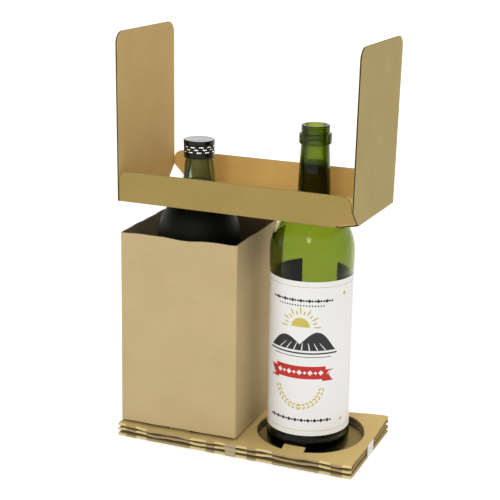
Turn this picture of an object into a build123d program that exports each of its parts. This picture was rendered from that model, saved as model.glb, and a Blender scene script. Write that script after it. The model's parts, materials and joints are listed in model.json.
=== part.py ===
from build123d import *
from math import acos, cos, degrees, pi, radians, sin, sqrt, tan
import os

# Two-bottle shipping pack: a folded cardboard pad with two sockets, one square
# cardboard sleeve round the left bottle, two wine bottles, and a cardboard tray
# that sits on the bottles' shoulders between two tall end flaps.
# Millimetres, +Z up. The origin is the middle of the pad's underside, the long
# side runs along X and the front is at -Y.

# Board
board = 1.6              # thickness of the fine-flute corrugated board
overrun = 1.0            # how far a cut runs past a face

# Base pad: one sheet folded to and fro into six layers
pad_layers = 6
pair_gap = 0.3           # between two layers joined by a front fold
band_gap = 1.0           # between two layers joined by a back fold
socket_layers = 4        # upper layers with the bottle holes in them
socket_play = 23.6       # how much wider a hole is than its bottle
middle_rim = 12.4        # board left between the two holes
side_rim = 9.2           # between a hole and the pad's side
front_rim = 9.0
back_rim = 4.4
middle_slot = 10.0       # slot across the middle of a front fold
slot_edge = 8.5          # last slot's distance from the pad's side
slot_bridges = (11.0, 16.0, 11.0)
slot_lengths = (9.0, 10.5)   # next to the middle slot, and last: a long slot fills what is left
tab_w = 20.6             # tongue in the top layer, pressed against the bottle
tab_lift = 14.0          # degrees that the tongue is bent up

# Tape on the pad's right side
tape_w = 17.5
tape_t = 0.2

# Sleeve
sleeve_w = 115.0
sleeve_d = 104.0
sleeve_gap = 28.6        # between its top edge and the neck tray
sleeve_dx = -0.8         # its place from the middle of the left hole
sleeve_dy = -0.1
sleeve_turn = 1.2        # degrees, seen from above
sleeve_corner = 2.0      # outer radius of a folded corner
glue_flap = 28.0         # width of the glued overlap inside the back wall

# Bottles: one body and shoulder for both, two different necks
glass = 3.0
body_r = 38.5
heel_r = 6.0
foot_ring = 6.5          # flat ring that the bottle stands on
punt_h = 14.0
panel_depth = 0.7        # shallow waist that the label sits in
panel_bottom = 18.0
panel_drop = 17.0        # from the shoulder down to the top of the waist
panel_slope = 4.0        # height of the step at each end of the waist
shoulder_z = 186.0       # where the body turns into the shoulder
shoulder_r = 46.0        # outward curve of the shoulder
neck_curve_r = 25.0      # inward curve into the neck
neck_r = 14.9            # neck at its foot
tab_clearance = 0.3      # between a tongue and its bottle

right_dx = -2.0          # its place from the middle of the right hole
right_dy = -3.1
right_neck_h = 44.64     # from the foot of the neck to the string ring
right_neck_top_r = 12.7
right_ring_r = 14.6
right_ring_h = 9.0
right_ring_slope = 1.0   # height of the slope above and below the ring's band
right_lip_h = 7.5
right_lip_r = 12.7
right_lip_edge = 1.0
right_bore_r = 9.3

left_dx = -1.7           # its place from the middle of the left hole
left_dy = -2.3
left_neck_h = 18.64      # from the foot of the neck to the threaded part
left_neck_top_r = 12.9
left_finish_h = 18.5     # threaded part
left_finish_r = 12.5
left_bore_r = 9.3
left_headspace = 36.5    # from the mouth down to the wine
wine_clearance = 0.1

# Label
label_t = 0.2
label_gap = 0.1          # glue between the glass and the paper
label_foot = 3.0         # waist left free below the label
label_head = 2.0         # and above it
label_wrap = 304.0       # degrees
label_facing = -84.0     # direction of its middle, degrees from +X

# Screw cap and the ring below it
cap_r = 14.4
cap_h = 12.6
cap_top = 1.0            # thickness of its top
cap_edge = 0.8           # rounding of its top edge
cap_clearance = 0.3
cap_knurls = 40
knurl_depth = 0.5
knurl_foot = 1.2         # plain band below the knurls
knurl_h = 7.6
ring_h = 3.8
ring_r = 14.2
ring_gap = 0.4

# Neck tray
tray_w = 225.2
tray_d = 109.0
tray_dx = 0.39           # its place from halfway between the two bottles
tray_dy = 0.5
tray_turn = -1.4         # degrees, seen from above
neck_hole_d = 40.0
seat_clearance = 0.2
wall_h = 28.0
wall_corner = 8.5
flap_h = 152.0
flap_corner = 11.0
corner_cut = 14.0        # cut across the front right and back left corners
crease_gap = 0.15        # open crease between the floor and an end flap
end_gap = 0.5            # between a low wall's end and an end flap
fold_r = 1.4
right_lean = 1.0         # degrees that the right end flap leans out
left_lean = 0.0

# Worked out from the sizes above
socket_d = 2 * body_r + socket_play
half_w = socket_d + middle_rim / 2 + side_rim
half_d = (socket_d + front_rim + back_rim) / 2
socket_x = (socket_d + middle_rim) / 2
socket_y = (front_rim - back_rim) / 2
sleeve_x = -socket_x + sleeve_dx
sleeve_y = socket_y + sleeve_dy
right_x = socket_x + right_dx
right_y = socket_y + right_dy
left_x = -socket_x + left_dx
left_y = socket_y + left_dy
tray_x = (left_x + right_x) / 2 + tray_dx
tray_y = (left_y + right_y) / 2 + tray_dy
long_slot = half_w - middle_slot / 2 - slot_edge - sum(slot_lengths) - sum(slot_bridges)
layer_z = [0.0]
for layer in range(1, pad_layers):
    layer_z.append(layer_z[-1] + board + (pair_gap if layer % 2 else band_gap))
pad_h = layer_z[-1] + board
socket_floor = layer_z[pad_layers - socket_layers - 1] + board
front_bend_r = board + pair_gap / 2
back_bend_r = board + band_gap / 2
shoulder_turn = acos(1 - (body_r - neck_r) / (shoulder_r + neck_curve_r))
neck_z = shoulder_z + (shoulder_r + neck_curve_r) * sin(shoulder_turn)
right_ring_z = neck_z + right_neck_h
right_h = right_ring_z + right_ring_h + right_lip_h
left_finish_z = neck_z + left_neck_h
left_h = left_finish_z + left_finish_h
left_wine_z = left_h - left_headspace
seat_turn = acos(1 - (neck_hole_d / 2 - seat_clearance - neck_r) / neck_curve_r)
tray_z = socket_floor + neck_z - neck_curve_r * sin(seat_turn)
sleeve_h = tray_z - sleeve_gap - pad_h
panel_r = body_r - panel_depth
panel_top = shoulder_z - panel_drop
label_bottom = panel_bottom + label_foot
label_h = panel_top - label_head - label_bottom
punt_r = body_r - heel_r - foot_ring
punt_ball = (punt_r**2 + punt_h**2) / (2 * punt_h)
punt_centre = punt_h - punt_ball
wine_inset = glass + wine_clearance

os.makedirs("parts", exist_ok=True)


def slot_places():
    """Middle and length of each slot along a front fold."""
    places = [(0.0, middle_slot)]
    start = middle_slot / 2
    for bridge, length in zip(slot_bridges, (slot_lengths[0], long_slot, slot_lengths[1])):
        middle = start + bridge + length / 2
        places += [(-middle, length), (middle, length)]
        start += bridge + length
    return places


# Base pad
with BuildPart() as base_pad:
    with BuildSketch(Plane.YZ):
        for layer, z in enumerate(layer_z):
            free_end = layer in (0, pad_layers - 1)
            y_from = -half_d + front_bend_r
            y_to = half_d if free_end else half_d - back_bend_r
            with Locations(((y_from + y_to) / 2, z + board / 2)):
                Rectangle(y_to - y_from, board)
        # A fold is a disc as thick as two layers and their gap, opened towards the layers
        for layer in range(pad_layers - 1):
            at_front = layer % 2 == 0
            gap = pair_gap if at_front else band_gap
            bend_y = -half_d + front_bend_r if at_front else half_d - back_bend_r
            with Locations((bend_y, layer_z[layer] + board + gap / 2)):
                Circle(board + gap / 2)
                Circle(gap / 2, mode=Mode.SUBTRACT)
                Rectangle(
                    board + gap,
                    gap,
                    align=(Align.MIN if at_front else Align.MAX, Align.CENTER),
                    mode=Mode.SUBTRACT,
                )
    extrude(amount=half_w, both=True)
    # Bottle sockets
    with BuildSketch(Plane.XY.offset(socket_floor)):
        with Locations((-socket_x, socket_y), (socket_x, socket_y)):
            Circle(socket_d / 2)
    extrude(amount=pad_h, mode=Mode.SUBTRACT)
    # Perforated creases at the front
    for layer in range(0, pad_layers - 1, 2):
        slot_z = layer_z[layer] + board + pair_gap / 2
        for middle, length in slot_places():
            with Locations((middle, -half_d, slot_z)):
                Box(length, 2 * front_bend_r, 2 * front_bend_r, mode=Mode.SUBTRACT)
    # Tongues in the top layer, bent up against the bottles
    for bottle_y, side in ((left_y, -1), (right_y, 1)):
        root_y = socket_y - sqrt((socket_d / 2)**2 - (tab_w / 2)**2)
        rim_y = socket_y - socket_d / 2 - board
        tip_y = bottle_y - body_r - tab_clearance
        rise = (tip_y - root_y) * tan(radians(tab_lift))
        with BuildSketch(Plane.YZ.offset(side * socket_x)):
            with BuildLine():
                Polyline(
                    (rim_y, pad_h - board),
                    (root_y, pad_h - board),
                    (tip_y, pad_h - board + rise),
                    (tip_y, pad_h + rise),
                    (root_y, pad_h),
                    (rim_y, pad_h),
                    close=True,
                )
            make_face()
        extrude(amount=tab_w / 2, both=True)
base_pad.part.label = "base_pad"

# Tape strip over the cut edges of the layers
with BuildPart() as pad_tape:
    with BuildSketch(Plane.YZ.offset(half_w)):
        Rectangle(tape_w, pad_h, align=(Align.CENTER, Align.MIN))
    extrude(amount=tape_t)
pad_tape.part.label = "pad_tape"

# Sleeve: a square tube with its overlap glued inside the back wall
sleeve_plane = Plane((sleeve_x, sleeve_y, pad_h)).rotated((0, 0, sleeve_turn))
with BuildPart() as divider_sleeve:
    with BuildSketch(sleeve_plane):
        RectangleRounded(sleeve_w, sleeve_d, sleeve_corner)
        RectangleRounded(
            sleeve_w - 2 * board,
            sleeve_d - 2 * board,
            sleeve_corner - board,
            mode=Mode.SUBTRACT,
        )
        with Locations((sleeve_w / 2 - board, sleeve_d / 2 - board)):
            Rectangle(glue_flap, board, align=(Align.MAX, Align.MAX))
    extrude(amount=sleeve_h)
divider_sleeve.part.label = "divider_sleeve"


def belly(inset):
    """Line of a bottle from its axis up to the foot of the neck, moved inwards by inset."""
    foot = sqrt((punt_ball + inset)**2 - (inset - punt_centre)**2)
    punt_angle = degrees(acos(foot / (punt_ball + inset)))
    turn = degrees(shoulder_turn)
    radius = body_r - inset
    waist = panel_r - inset
    CenterArc((0, punt_centre), punt_ball + inset, punt_angle, 90 - punt_angle)
    Line((foot, inset), (body_r - heel_r, inset))
    CenterArc((body_r - heel_r, heel_r), heel_r - inset, -90, 90)
    Polyline(
        (radius, heel_r),
        (radius, panel_bottom - panel_slope),
        (waist, panel_bottom),
        (waist, panel_top),
        (radius, panel_top + panel_slope),
        (radius, shoulder_z),
    )
    CenterArc((body_r - shoulder_r, shoulder_z), shoulder_r - inset, 0, turn)
    CenterArc((neck_r + neck_curve_r, neck_z), neck_curve_r + inset, 180, turn)


def half_section(inset, upper_points):
    """Edges round half of a bottle or of what it holds: upper_points go from the neck to the axis."""
    with BuildLine() as section:
        belly(inset)
        Polyline((neck_r - inset, neck_z), *upper_points, (0, punt_h + inset))
    return section.edges()


def upright(x, y):
    """Plane through a bottle's axis, with its height along the plane's second direction."""
    return Plane(origin=(x, y, socket_floor), x_dir=(1, 0, 0), z_dir=(0, -1, 0))


right_axis = Axis((right_x, right_y, socket_floor), (0, 0, 1))
left_axis = Axis((left_x, left_y, socket_floor), (0, 0, 1))

# Right bottle: empty, with a long neck, a string ring and an open mouth
with BuildPart() as right_bottle:
    with BuildSketch(upright(right_x, right_y)):
        make_face(
            half_section(
                0.0,
                (
                    (right_neck_top_r, right_ring_z),
                    (right_ring_r, right_ring_z + right_ring_slope),
                    (right_ring_r, right_ring_z + right_ring_h - right_ring_slope),
                    (right_lip_r, right_ring_z + right_ring_h),
                    (right_lip_r, right_h - right_lip_edge),
                    (right_lip_r - right_lip_edge, right_h),
                    (0, right_h),
                ),
            )
        )
    revolve(axis=right_axis)
    with BuildSketch(upright(right_x, right_y)):
        make_face(
            half_section(
                glass,
                (
                    (right_bore_r, right_ring_z),
                    (right_bore_r, right_h + overrun),
                    (0, right_h + overrun),
                ),
            )
        )
    revolve(axis=right_axis, mode=Mode.SUBTRACT)
right_bottle.part.label = "right_bottle"

# Label wrapped round the waist of the right bottle
label_plane = Plane((right_x, right_y, socket_floor + label_bottom))
with BuildPart() as right_bottle_label:
    with BuildSketch(label_plane):
        with BuildLine():
            from_angle = label_facing - label_wrap / 2
            inner = CenterArc((0, 0), panel_r + label_gap, from_angle, label_wrap)
            outer = CenterArc((0, 0), panel_r + label_gap + label_t, from_angle, label_wrap)
            Line(inner @ 0, outer @ 0)
            Line(inner @ 1, outer @ 1)
        make_face()
    extrude(amount=label_h)
right_bottle_label.part.label = "right_bottle_label"

# Left bottle: shorter neck under a screw cap
with BuildPart() as left_bottle:
    with BuildSketch(upright(left_x, left_y)):
        make_face(
            half_section(
                0.0,
                (
                    (left_neck_top_r, left_finish_z),
                    (left_finish_r, left_finish_z),
                    (left_finish_r, left_h),
                    (0, left_h),
                ),
            )
        )
    revolve(axis=left_axis)
    with BuildSketch(upright(left_x, left_y)):
        make_face(
            half_section(
                glass,
                (
                    (left_bore_r, left_finish_z),
                    (left_bore_r, left_h + overrun),
                    (0, left_h + overrun),
                ),
            )
        )
    revolve(axis=left_axis, mode=Mode.SUBTRACT)
left_bottle.part.label = "left_bottle"

# Wine: its surface stands in the neck, which narrows to the bore on the way up
with BuildPart() as left_bottle_wine:
    with BuildSketch(upright(left_x, left_y)):
        narrowing = (neck_r - glass - left_bore_r) / left_neck_h
        level_r = neck_r - wine_inset - narrowing * (left_wine_z - neck_z)
        make_face(half_section(wine_inset, ((level_r, left_wine_z), (0, left_wine_z))))
    revolve(axis=left_axis)
left_bottle_wine.part.label = "left_bottle_wine"

# Screw cap with knurled side, and the tamper ring below it
cap_z = socket_floor + left_h + cap_clearance + cap_top - cap_h
cap_inner_r = left_finish_r + cap_clearance
with BuildPart() as left_bottle_cap:
    with BuildSketch(Plane((left_x, left_y, cap_z))):
        Circle(cap_r)
    extrude(amount=cap_h)
    fillet(left_bottle_cap.faces().sort_by(Axis.Z)[-1].edges(), radius=cap_edge)
    with BuildSketch(Plane((left_x, left_y, cap_z))):
        Circle(cap_inner_r)
    extrude(amount=cap_h - cap_top, mode=Mode.SUBTRACT)
    with BuildSketch(Plane((left_x, left_y, cap_z + knurl_foot))):
        with PolarLocations(cap_r, cap_knurls):
            Rectangle(2 * knurl_depth, pi * cap_r / cap_knurls)
    extrude(amount=knurl_h, mode=Mode.SUBTRACT)
left_bottle_cap.part.label = "left_bottle_cap"

ring_z = cap_z - ring_gap - ring_h
with BuildPart() as left_bottle_ring:
    with BuildSketch(Plane((left_x, left_y, ring_z))):
        Circle(ring_r)
        Circle(cap_inner_r, mode=Mode.SUBTRACT)
    extrude(amount=ring_h)
left_bottle_ring.part.label = "left_bottle_ring"

# Neck tray: floor and two low walls from one sheet
half_tray_w = tray_w / 2
half_tray_d = tray_d / 2
wall_half = half_tray_w - board - end_gap
tray_frame = Plane((tray_x, tray_y, tray_z)).rotated((0, 0, tray_turn))
tray_halves = (tray_frame, tray_frame.rotated((0, 0, 180)))


def wall_face(frame):
    """Plane of a low wall's outer face, with its origin in the middle of the fold."""
    middle = frame.from_local_coords((0, -half_tray_d, 0))
    return Plane(origin=middle, x_dir=frame.x_dir, z_dir=-frame.y_dir)


def flap_planes(frame, lean):
    """Planes of an end flap's outer face and of its section, with their origin on the crease."""
    middle = frame.from_local_coords((half_tray_w, 0, 0))
    outward = frame.x_dir * cos(radians(lean)) - frame.z_dir * sin(radians(lean))
    face = Plane(origin=middle, x_dir=frame.y_dir, z_dir=outward)
    section = Plane(origin=middle, x_dir=outward, z_dir=-frame.y_dir)
    return face, section


with BuildPart() as neck_tray:
    # Floor, bevelled towards the two end creases
    with BuildSketch(Plane(origin=tray_frame.origin, x_dir=tray_frame.x_dir, z_dir=-tray_frame.y_dir)):
        with BuildLine():
            Polyline(
                (-half_tray_w + crease_gap, 0),
                (half_tray_w - crease_gap, 0),
                (half_tray_w - crease_gap - board, board),
                (-half_tray_w + crease_gap + board, board),
                close=True,
            )
        make_face()
    extrude(amount=half_tray_d, both=True)
    # Low walls
    for frame in tray_halves:
        with BuildSketch(wall_face(frame)) as wall_outline:
            with BuildLine():
                Polyline(
                    (-wall_half, 0),
                    (wall_half - corner_cut, 0),
                    (wall_half, corner_cut),
                    (wall_half, wall_h),
                    (-wall_half, wall_h),
                    close=True,
                )
            make_face()
            fillet(wall_outline.vertices().group_by(Axis.Z)[-1], radius=wall_corner)
        extrude(amount=-board)
    # Corners of the floor cut off at 45 degrees
    for frame in tray_halves:
        with BuildSketch(frame):
            with BuildLine():
                Polyline(
                    (half_tray_w - corner_cut - board, -half_tray_d - board),
                    (half_tray_w + board, -half_tray_d - board),
                    (half_tray_w + board, -half_tray_d + corner_cut + board),
                    close=True,
                )
            make_face()
        extrude(amount=board, mode=Mode.SUBTRACT)
    # Neck holes over the bottles
    with BuildSketch(Plane.XY.offset(tray_z)):
        with Locations((left_x, left_y), (right_x, right_y)):
            Circle(neck_hole_d / 2)
    extrude(amount=board, mode=Mode.SUBTRACT)
    folds = neck_tray.edges().filter_by(Axis((0, 0, 0), tray_frame.x_dir)).group_by(Axis.Z)[0]
    fillet(folds, radius=fold_r)
neck_tray.part.label = "neck_tray"


def end_flap(frame, lean):
    """Tall end flap standing on its crease, with a mitred foot."""
    face, section = flap_planes(frame, lean)
    with BuildPart() as flap:
        with BuildSketch(face) as outline:
            with BuildLine():
                Polyline(
                    (-half_tray_d + corner_cut, 0),
                    (half_tray_d, 0),
                    (half_tray_d, flap_h),
                    (-half_tray_d, flap_h),
                    (-half_tray_d, corner_cut),
                    close=True,
                )
            make_face()
            fillet(outline.vertices().group_by(Axis.Z)[-1], radius=flap_corner)
        extrude(amount=-board)
        with BuildSketch(section):
            with BuildLine():
                Polyline(
                    (board, -board),
                    (-2 * board, 2 * board),
                    (-2 * board, -board),
                    close=True,
                )
            make_face()
        extrude(amount=half_tray_d + board, both=True, mode=Mode.SUBTRACT)
    return flap


right_end_flap = end_flap(tray_halves[0], right_lean)
right_end_flap.part.label = "right_end_flap"
left_end_flap = end_flap(tray_halves[1], left_lean)
left_end_flap.part.label = "left_end_flap"

export_step(base_pad.part, "parts/base_pad.step")
export_step(pad_tape.part, "parts/pad_tape.step")
export_step(divider_sleeve.part, "parts/divider_sleeve.step")
export_step(right_bottle.part, "parts/right_bottle.step")
export_step(right_bottle_label.part, "parts/right_bottle_label.step")
export_step(left_bottle.part, "parts/left_bottle.step")
export_step(left_bottle_wine.part, "parts/left_bottle_wine.step")
export_step(left_bottle_cap.part, "parts/left_bottle_cap.step")
export_step(left_bottle_ring.part, "parts/left_bottle_ring.step")
export_step(neck_tray.part, "parts/neck_tray.step")
export_step(left_end_flap.part, "parts/left_end_flap.step")
export_step(right_end_flap.part, "parts/right_end_flap.step")
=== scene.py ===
"""Dressed model of a two-bottle shipping pack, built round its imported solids.

Shapes are worked out in millimetres as whole arrays and written to meshes in metres.
A stretch of board is three closed sheets, two flat liners with a wavy medium between
them, so that every cut edge shows its flutes.
"""

from __future__ import annotations

import json
import logging
from collections.abc import Callable
from dataclasses import dataclass
from enum import Enum, IntEnum
from math import acos, cos, pi, radians, sin, sqrt, tan

import bpy
import numpy as np
from mathutils import Matrix, Vector


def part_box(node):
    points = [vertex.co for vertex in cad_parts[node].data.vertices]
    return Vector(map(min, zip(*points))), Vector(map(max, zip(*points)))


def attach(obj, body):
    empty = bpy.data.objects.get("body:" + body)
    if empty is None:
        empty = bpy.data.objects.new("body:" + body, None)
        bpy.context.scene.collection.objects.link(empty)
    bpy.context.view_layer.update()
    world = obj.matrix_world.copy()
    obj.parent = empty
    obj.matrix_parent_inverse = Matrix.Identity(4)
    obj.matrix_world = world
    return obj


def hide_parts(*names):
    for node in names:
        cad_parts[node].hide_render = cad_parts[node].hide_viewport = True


Array = np.ndarray
Triple = tuple[float, float, float]
Socket = bpy.types.NodeSocket
Material = bpy.types.Material
Place = Callable[[Array, Array, Array], Array]
Outline = Callable[[Array], Array]

MM = 0.001
SHARP_ANGLE = radians(38)
LOG = logging.getLogger("shipping_pack")

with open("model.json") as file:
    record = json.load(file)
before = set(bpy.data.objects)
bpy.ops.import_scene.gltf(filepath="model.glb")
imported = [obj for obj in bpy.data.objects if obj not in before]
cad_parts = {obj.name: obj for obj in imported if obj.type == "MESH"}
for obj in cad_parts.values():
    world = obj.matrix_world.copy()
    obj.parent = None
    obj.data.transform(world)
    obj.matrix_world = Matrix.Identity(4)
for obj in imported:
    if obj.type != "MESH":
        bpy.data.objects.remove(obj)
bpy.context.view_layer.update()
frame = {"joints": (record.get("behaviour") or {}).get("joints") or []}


def linear(colour: Triple) -> tuple[float, float, float, float]:
    """Turns a colour of 0 to 255 a channel, as a screen shows it, into the linear one of a shader.

    Args:
        colour: red, green and blue.

    Returns:
        Red, green, blue and an alpha of 1.
    """
    share = np.array(colour) / 255
    value = np.where(share <= 0.04045, share / 12.92, ((share + 0.055) / 1.055) ** 2.4)
    return (*value.tolist(), 1.0)


def ease(value: Array, low: float, high: float) -> Array:
    """Climbs smoothly from 0 at low to 1 at high: 3t squared less 2t cubed."""
    share = np.clip((np.asarray(value, float) - low) / (high - low), 0, 1)
    return share * share * (3 - 2 * share)


def arc(centre: tuple[float, float], radius: float, start: float, end: float, count: int) -> Array:
    """Points along an arc in a profile.

    Args:
        centre: its centre, as a radius and a height.
        radius: its radius.
        start: angle of the first point, in degrees.
        end: angle of the last point, in degrees.
        count: number of points.

    Returns:
        One row of radius and height for each point: the centre plus the radius times the
        cosine and the sine.
    """
    angle = np.radians(np.linspace(start, end, count))
    return np.stack([centre[0] + radius * np.cos(angle), centre[1] + radius * np.sin(angle)], axis=1)


def grid_quads(rows: int, columns: int, wrap: bool = False) -> Array:
    """Quads between the neighbouring points of a grid that is numbered row by row.

    Args:
        rows: number of rows.
        columns: number of columns.
        wrap: whether the last column joins the first.

    Returns:
        One row of four point numbers for each quad.
    """
    row = np.arange(rows - 1)[:, None]
    column = np.arange(columns if wrap else columns - 1)[None, :]
    beside = (column + 1) % columns
    corners = [
        row * columns + column,
        row * columns + beside,
        (row + 1) * columns + beside,
        (row + 1) * columns + column,
    ]
    return np.stack(corners, axis=-1).reshape(-1, 4)


def slab(low: Array, high: Array) -> tuple[Array, Array]:
    """Closes the space between two grids of the same size.

    Args:
        low: points of one face, rows by columns by 3.
        high: points of the other face.

    Returns:
        Points and quads: both grids, and a strip that joins their rims.
    """
    rows, columns = low.shape[:2]
    count = rows * columns
    face = grid_quads(rows, columns)
    ids = np.arange(count).reshape(rows, columns)
    rim = np.concatenate([ids[0], ids[1:, -1], ids[-1, -2::-1], ids[-2:0:-1, 0]])
    after = np.roll(rim, -1)
    side = np.stack([rim, after, after + count, rim + count], axis=-1)
    points = np.concatenate([low.reshape(-1, 3), high.reshape(-1, 3)])
    return points, np.concatenate([face[:, ::-1], face + count, side])


def signed_volume(points: Array, faces: Array) -> float:
    """Volume inside closed faces, below 0 where they point inwards.

    It is a sixth of the triple product of each triangle in the faces' fans.

    Args:
        points: place of each point.
        faces: numbers of each face's points, in order.

    Returns:
        The volume, in cubic millimetres.
    """
    total = 0.0
    for second in range(1, faces.shape[1] - 1):
        a, b, c = points[faces[:, 0]], points[faces[:, second]], points[faces[:, second + 1]]
        total += float(np.einsum("ij,ij->", a, np.cross(b, c))) / 6
    return total


class Piece:
    """Gathers closed surfaces in millimetres and makes one object of them in metres."""

    def __init__(self, name: str) -> None:
        """Starts an empty piece.

        Args:
            name: name of the object.
        """
        self.name = name
        self.points: list[Array] = []
        self.sheet: list[Array] = []
        self.faces: list[list[int]] = []
        self.finishes: list[Array] = []
        self.count = 0

    def add(self, points: Array, faces: list[Array], finish: int = 0, sheet: Array | None = None) -> None:
        """Adds one closed surface and turns its faces outwards.

        Args:
            points: its points, one row each.
            faces: arrays of quads or triangles.
            finish: number of its material in the piece.
            sheet: place of each point on the flat sheet, across and along the flutes.
        """
        volume = sum(signed_volume(points, part) for part in faces)
        for part in faces:
            turned = part[:, ::-1] if volume < 0 else part
            self.faces.extend((turned + self.count).tolist())
            self.finishes.append(np.full(len(part), finish))
        self.points.append(points)
        self.sheet.append(np.zeros((len(points), 2)) if sheet is None else sheet)
        self.count += len(points)

    def add_slab(self, low: Array, high: Array, finish: int = 0, sheet: Array | None = None) -> None:
        """Adds the closed space between two grids.

        Args:
            low: points of one face, rows by columns by 3.
            high: points of the other face.
            finish: number of its material in the piece.
            sheet: place on the flat sheet, rows by columns by 2.
        """
        points, quads = slab(low, high)
        flat = None if sheet is None else np.tile(sheet.reshape(-1, 2), (2, 1))
        self.add(points, [quads], finish, flat)

    def build(self, body: str, slot: str, materials: list[Material], *nodes: str) -> bpy.types.Object:
        """Makes the object and lets it ride on its body.

        Args:
            body: body that it moves with.
            slot: material slot of the record; not used.
            materials: its finishes, in the order of their numbers.
            nodes: solids that it stands for.

        Returns:
            The object, at the origin, with its place in its mesh.
        """
        mesh = bpy.data.meshes.new(self.name)
        mesh.from_pydata((np.concatenate(self.points) * MM).tolist(), [], self.faces)
        mesh.polygons.foreach_set("material_index", np.concatenate(self.finishes).astype(np.int32))
        corner = np.zeros(len(mesh.loops), np.int32)
        mesh.loops.foreach_get("vertex_index", corner)
        flat = (np.concatenate(self.sheet) * MM)[corner]
        mesh.uv_layers.new(name="sheet").data.foreach_set("uv", flat.astype(np.float32).ravel())
        for material in materials:
            mesh.materials.append(material)
        mesh.shade_smooth()
        mesh.set_sharp_from_angle(angle=SHARP_ANGLE)
        mesh.validate()
        thing = bpy.data.objects.new(self.name, mesh)
        bpy.context.scene.collection.objects.link(thing)
        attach(thing, body)
        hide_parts(*nodes)
        triangles = sum(len(face) - 2 for face in self.faces)
        LOG.info("%s: %d triangles on %s", self.name, triangles, body)
        return thing


def turned(profile: Array, axis: Triple, steps: int, ribs: Array | None = None) -> tuple:
    """Turns a profile about an upright axis.

    Args:
        profile: radius and height of each point. It starts and ends on the axis, or it is a
            closed loop off the axis.
        axis: foot of the axis.
        steps: number of points round the axis.
        ribs: depth taken off each radius, one row for each point of the profile.

    Returns:
        Points and a list of quads and triangles. A point is the axis plus its radius times
        the cosine and the sine of its angle, and its height.
    """
    on_axis = profile[0, 0] == 0
    rings = profile[1:-1] if on_axis else profile
    angle = 2 * pi * np.arange(steps) / steps
    radius = np.repeat(rings[:, :1], steps, axis=1)
    if ribs is not None:
        radius = radius - (ribs[1:-1] if on_axis else ribs)
    height = np.repeat(rings[:, 1:], steps, axis=1)
    points = np.stack([radius * np.cos(angle), radius * np.sin(angle), height], axis=-1).reshape(-1, 3)
    quads = grid_quads(len(rings), steps, wrap=True)
    if not on_axis:
        last = np.arange(steps) + (len(rings) - 1) * steps
        first = np.arange(steps)
        seam = np.stack([last, np.roll(last, -1), np.roll(first, -1), first], axis=-1)
        return points + np.array(axis), [np.concatenate([quads, seam])]
    first = np.arange(steps)
    last = first + (len(rings) - 1) * steps
    poles = np.array([[0, 0, profile[0, 1]], [0, 0, profile[-1, 1]]])
    low = np.stack([np.full(steps, len(points)), np.roll(first, -1), first], axis=-1)
    high = np.stack([np.full(steps, len(points) + 1), last, np.roll(last, -1)], axis=-1)
    return np.concatenate([points, poles]) + np.array(axis), [quads, low, high]


@dataclass(frozen=True)
class Board:
    """Fine-flute board: the sizes of its three sheets."""

    thickness: float = 1.6
    liner: float = 0.24
    medium: float = 0.18
    pitch: float = 3.3
    steps: int = 6

    def panel(
        self,
        piece: Piece,
        place: Place,
        columns: Array,
        low: Outline,
        high: Outline,
        rows: Array | None = None,
        faces: tuple[int, int, int] = (0, 0, 1),
    ) -> None:
        """Adds a stretch of board: two liners, and a medium that waves as a sine across the flutes.

        Args:
            piece: piece that takes it.
            place: point for a place across the flutes, a place along them and a depth.
            columns: places across the flutes where the outline is taken.
            low: where the board starts along the flutes, for each place across them.
            high: where it ends.
            rows: shares of the way from low to high that get a row of points.
            faces: numbers of the materials of the two liners and the medium.
        """
        share = np.array([0.0, 1.0]) if rows is None else rows
        fine = np.arange(columns[0], columns[-1], self.pitch / self.steps)
        both = np.unique(np.round(np.concatenate([columns, fine]), 3))
        swing = self.thickness / 2 - self.liner - self.medium / 2
        wave = self.thickness / 2 + swing * np.sin(2 * pi * both / self.pitch)
        sheets = (
            (columns, np.zeros_like(columns), self.liner, faces[0]),
            (columns, np.full_like(columns, self.thickness - self.liner), self.liner, faces[1]),
            (both, wave - self.medium / 2, self.medium, faces[2]),
        )
        for across, depth, thick, finish in sheets:
            start, end = low(across), high(across)
            along = start + (end - start) * share[:, None]
            width = np.broadcast_to(across, along.shape)
            under = np.broadcast_to(depth, along.shape)
            flat = np.stack([width, along], axis=-1)
            piece.add_slab(place(width, along, under), place(width, along, under + thick), finish, flat)


BOARD = Board()


def steady(value: float) -> Outline:
    """Outline that stays at one value."""
    return lambda across: np.full_like(across, value)


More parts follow.
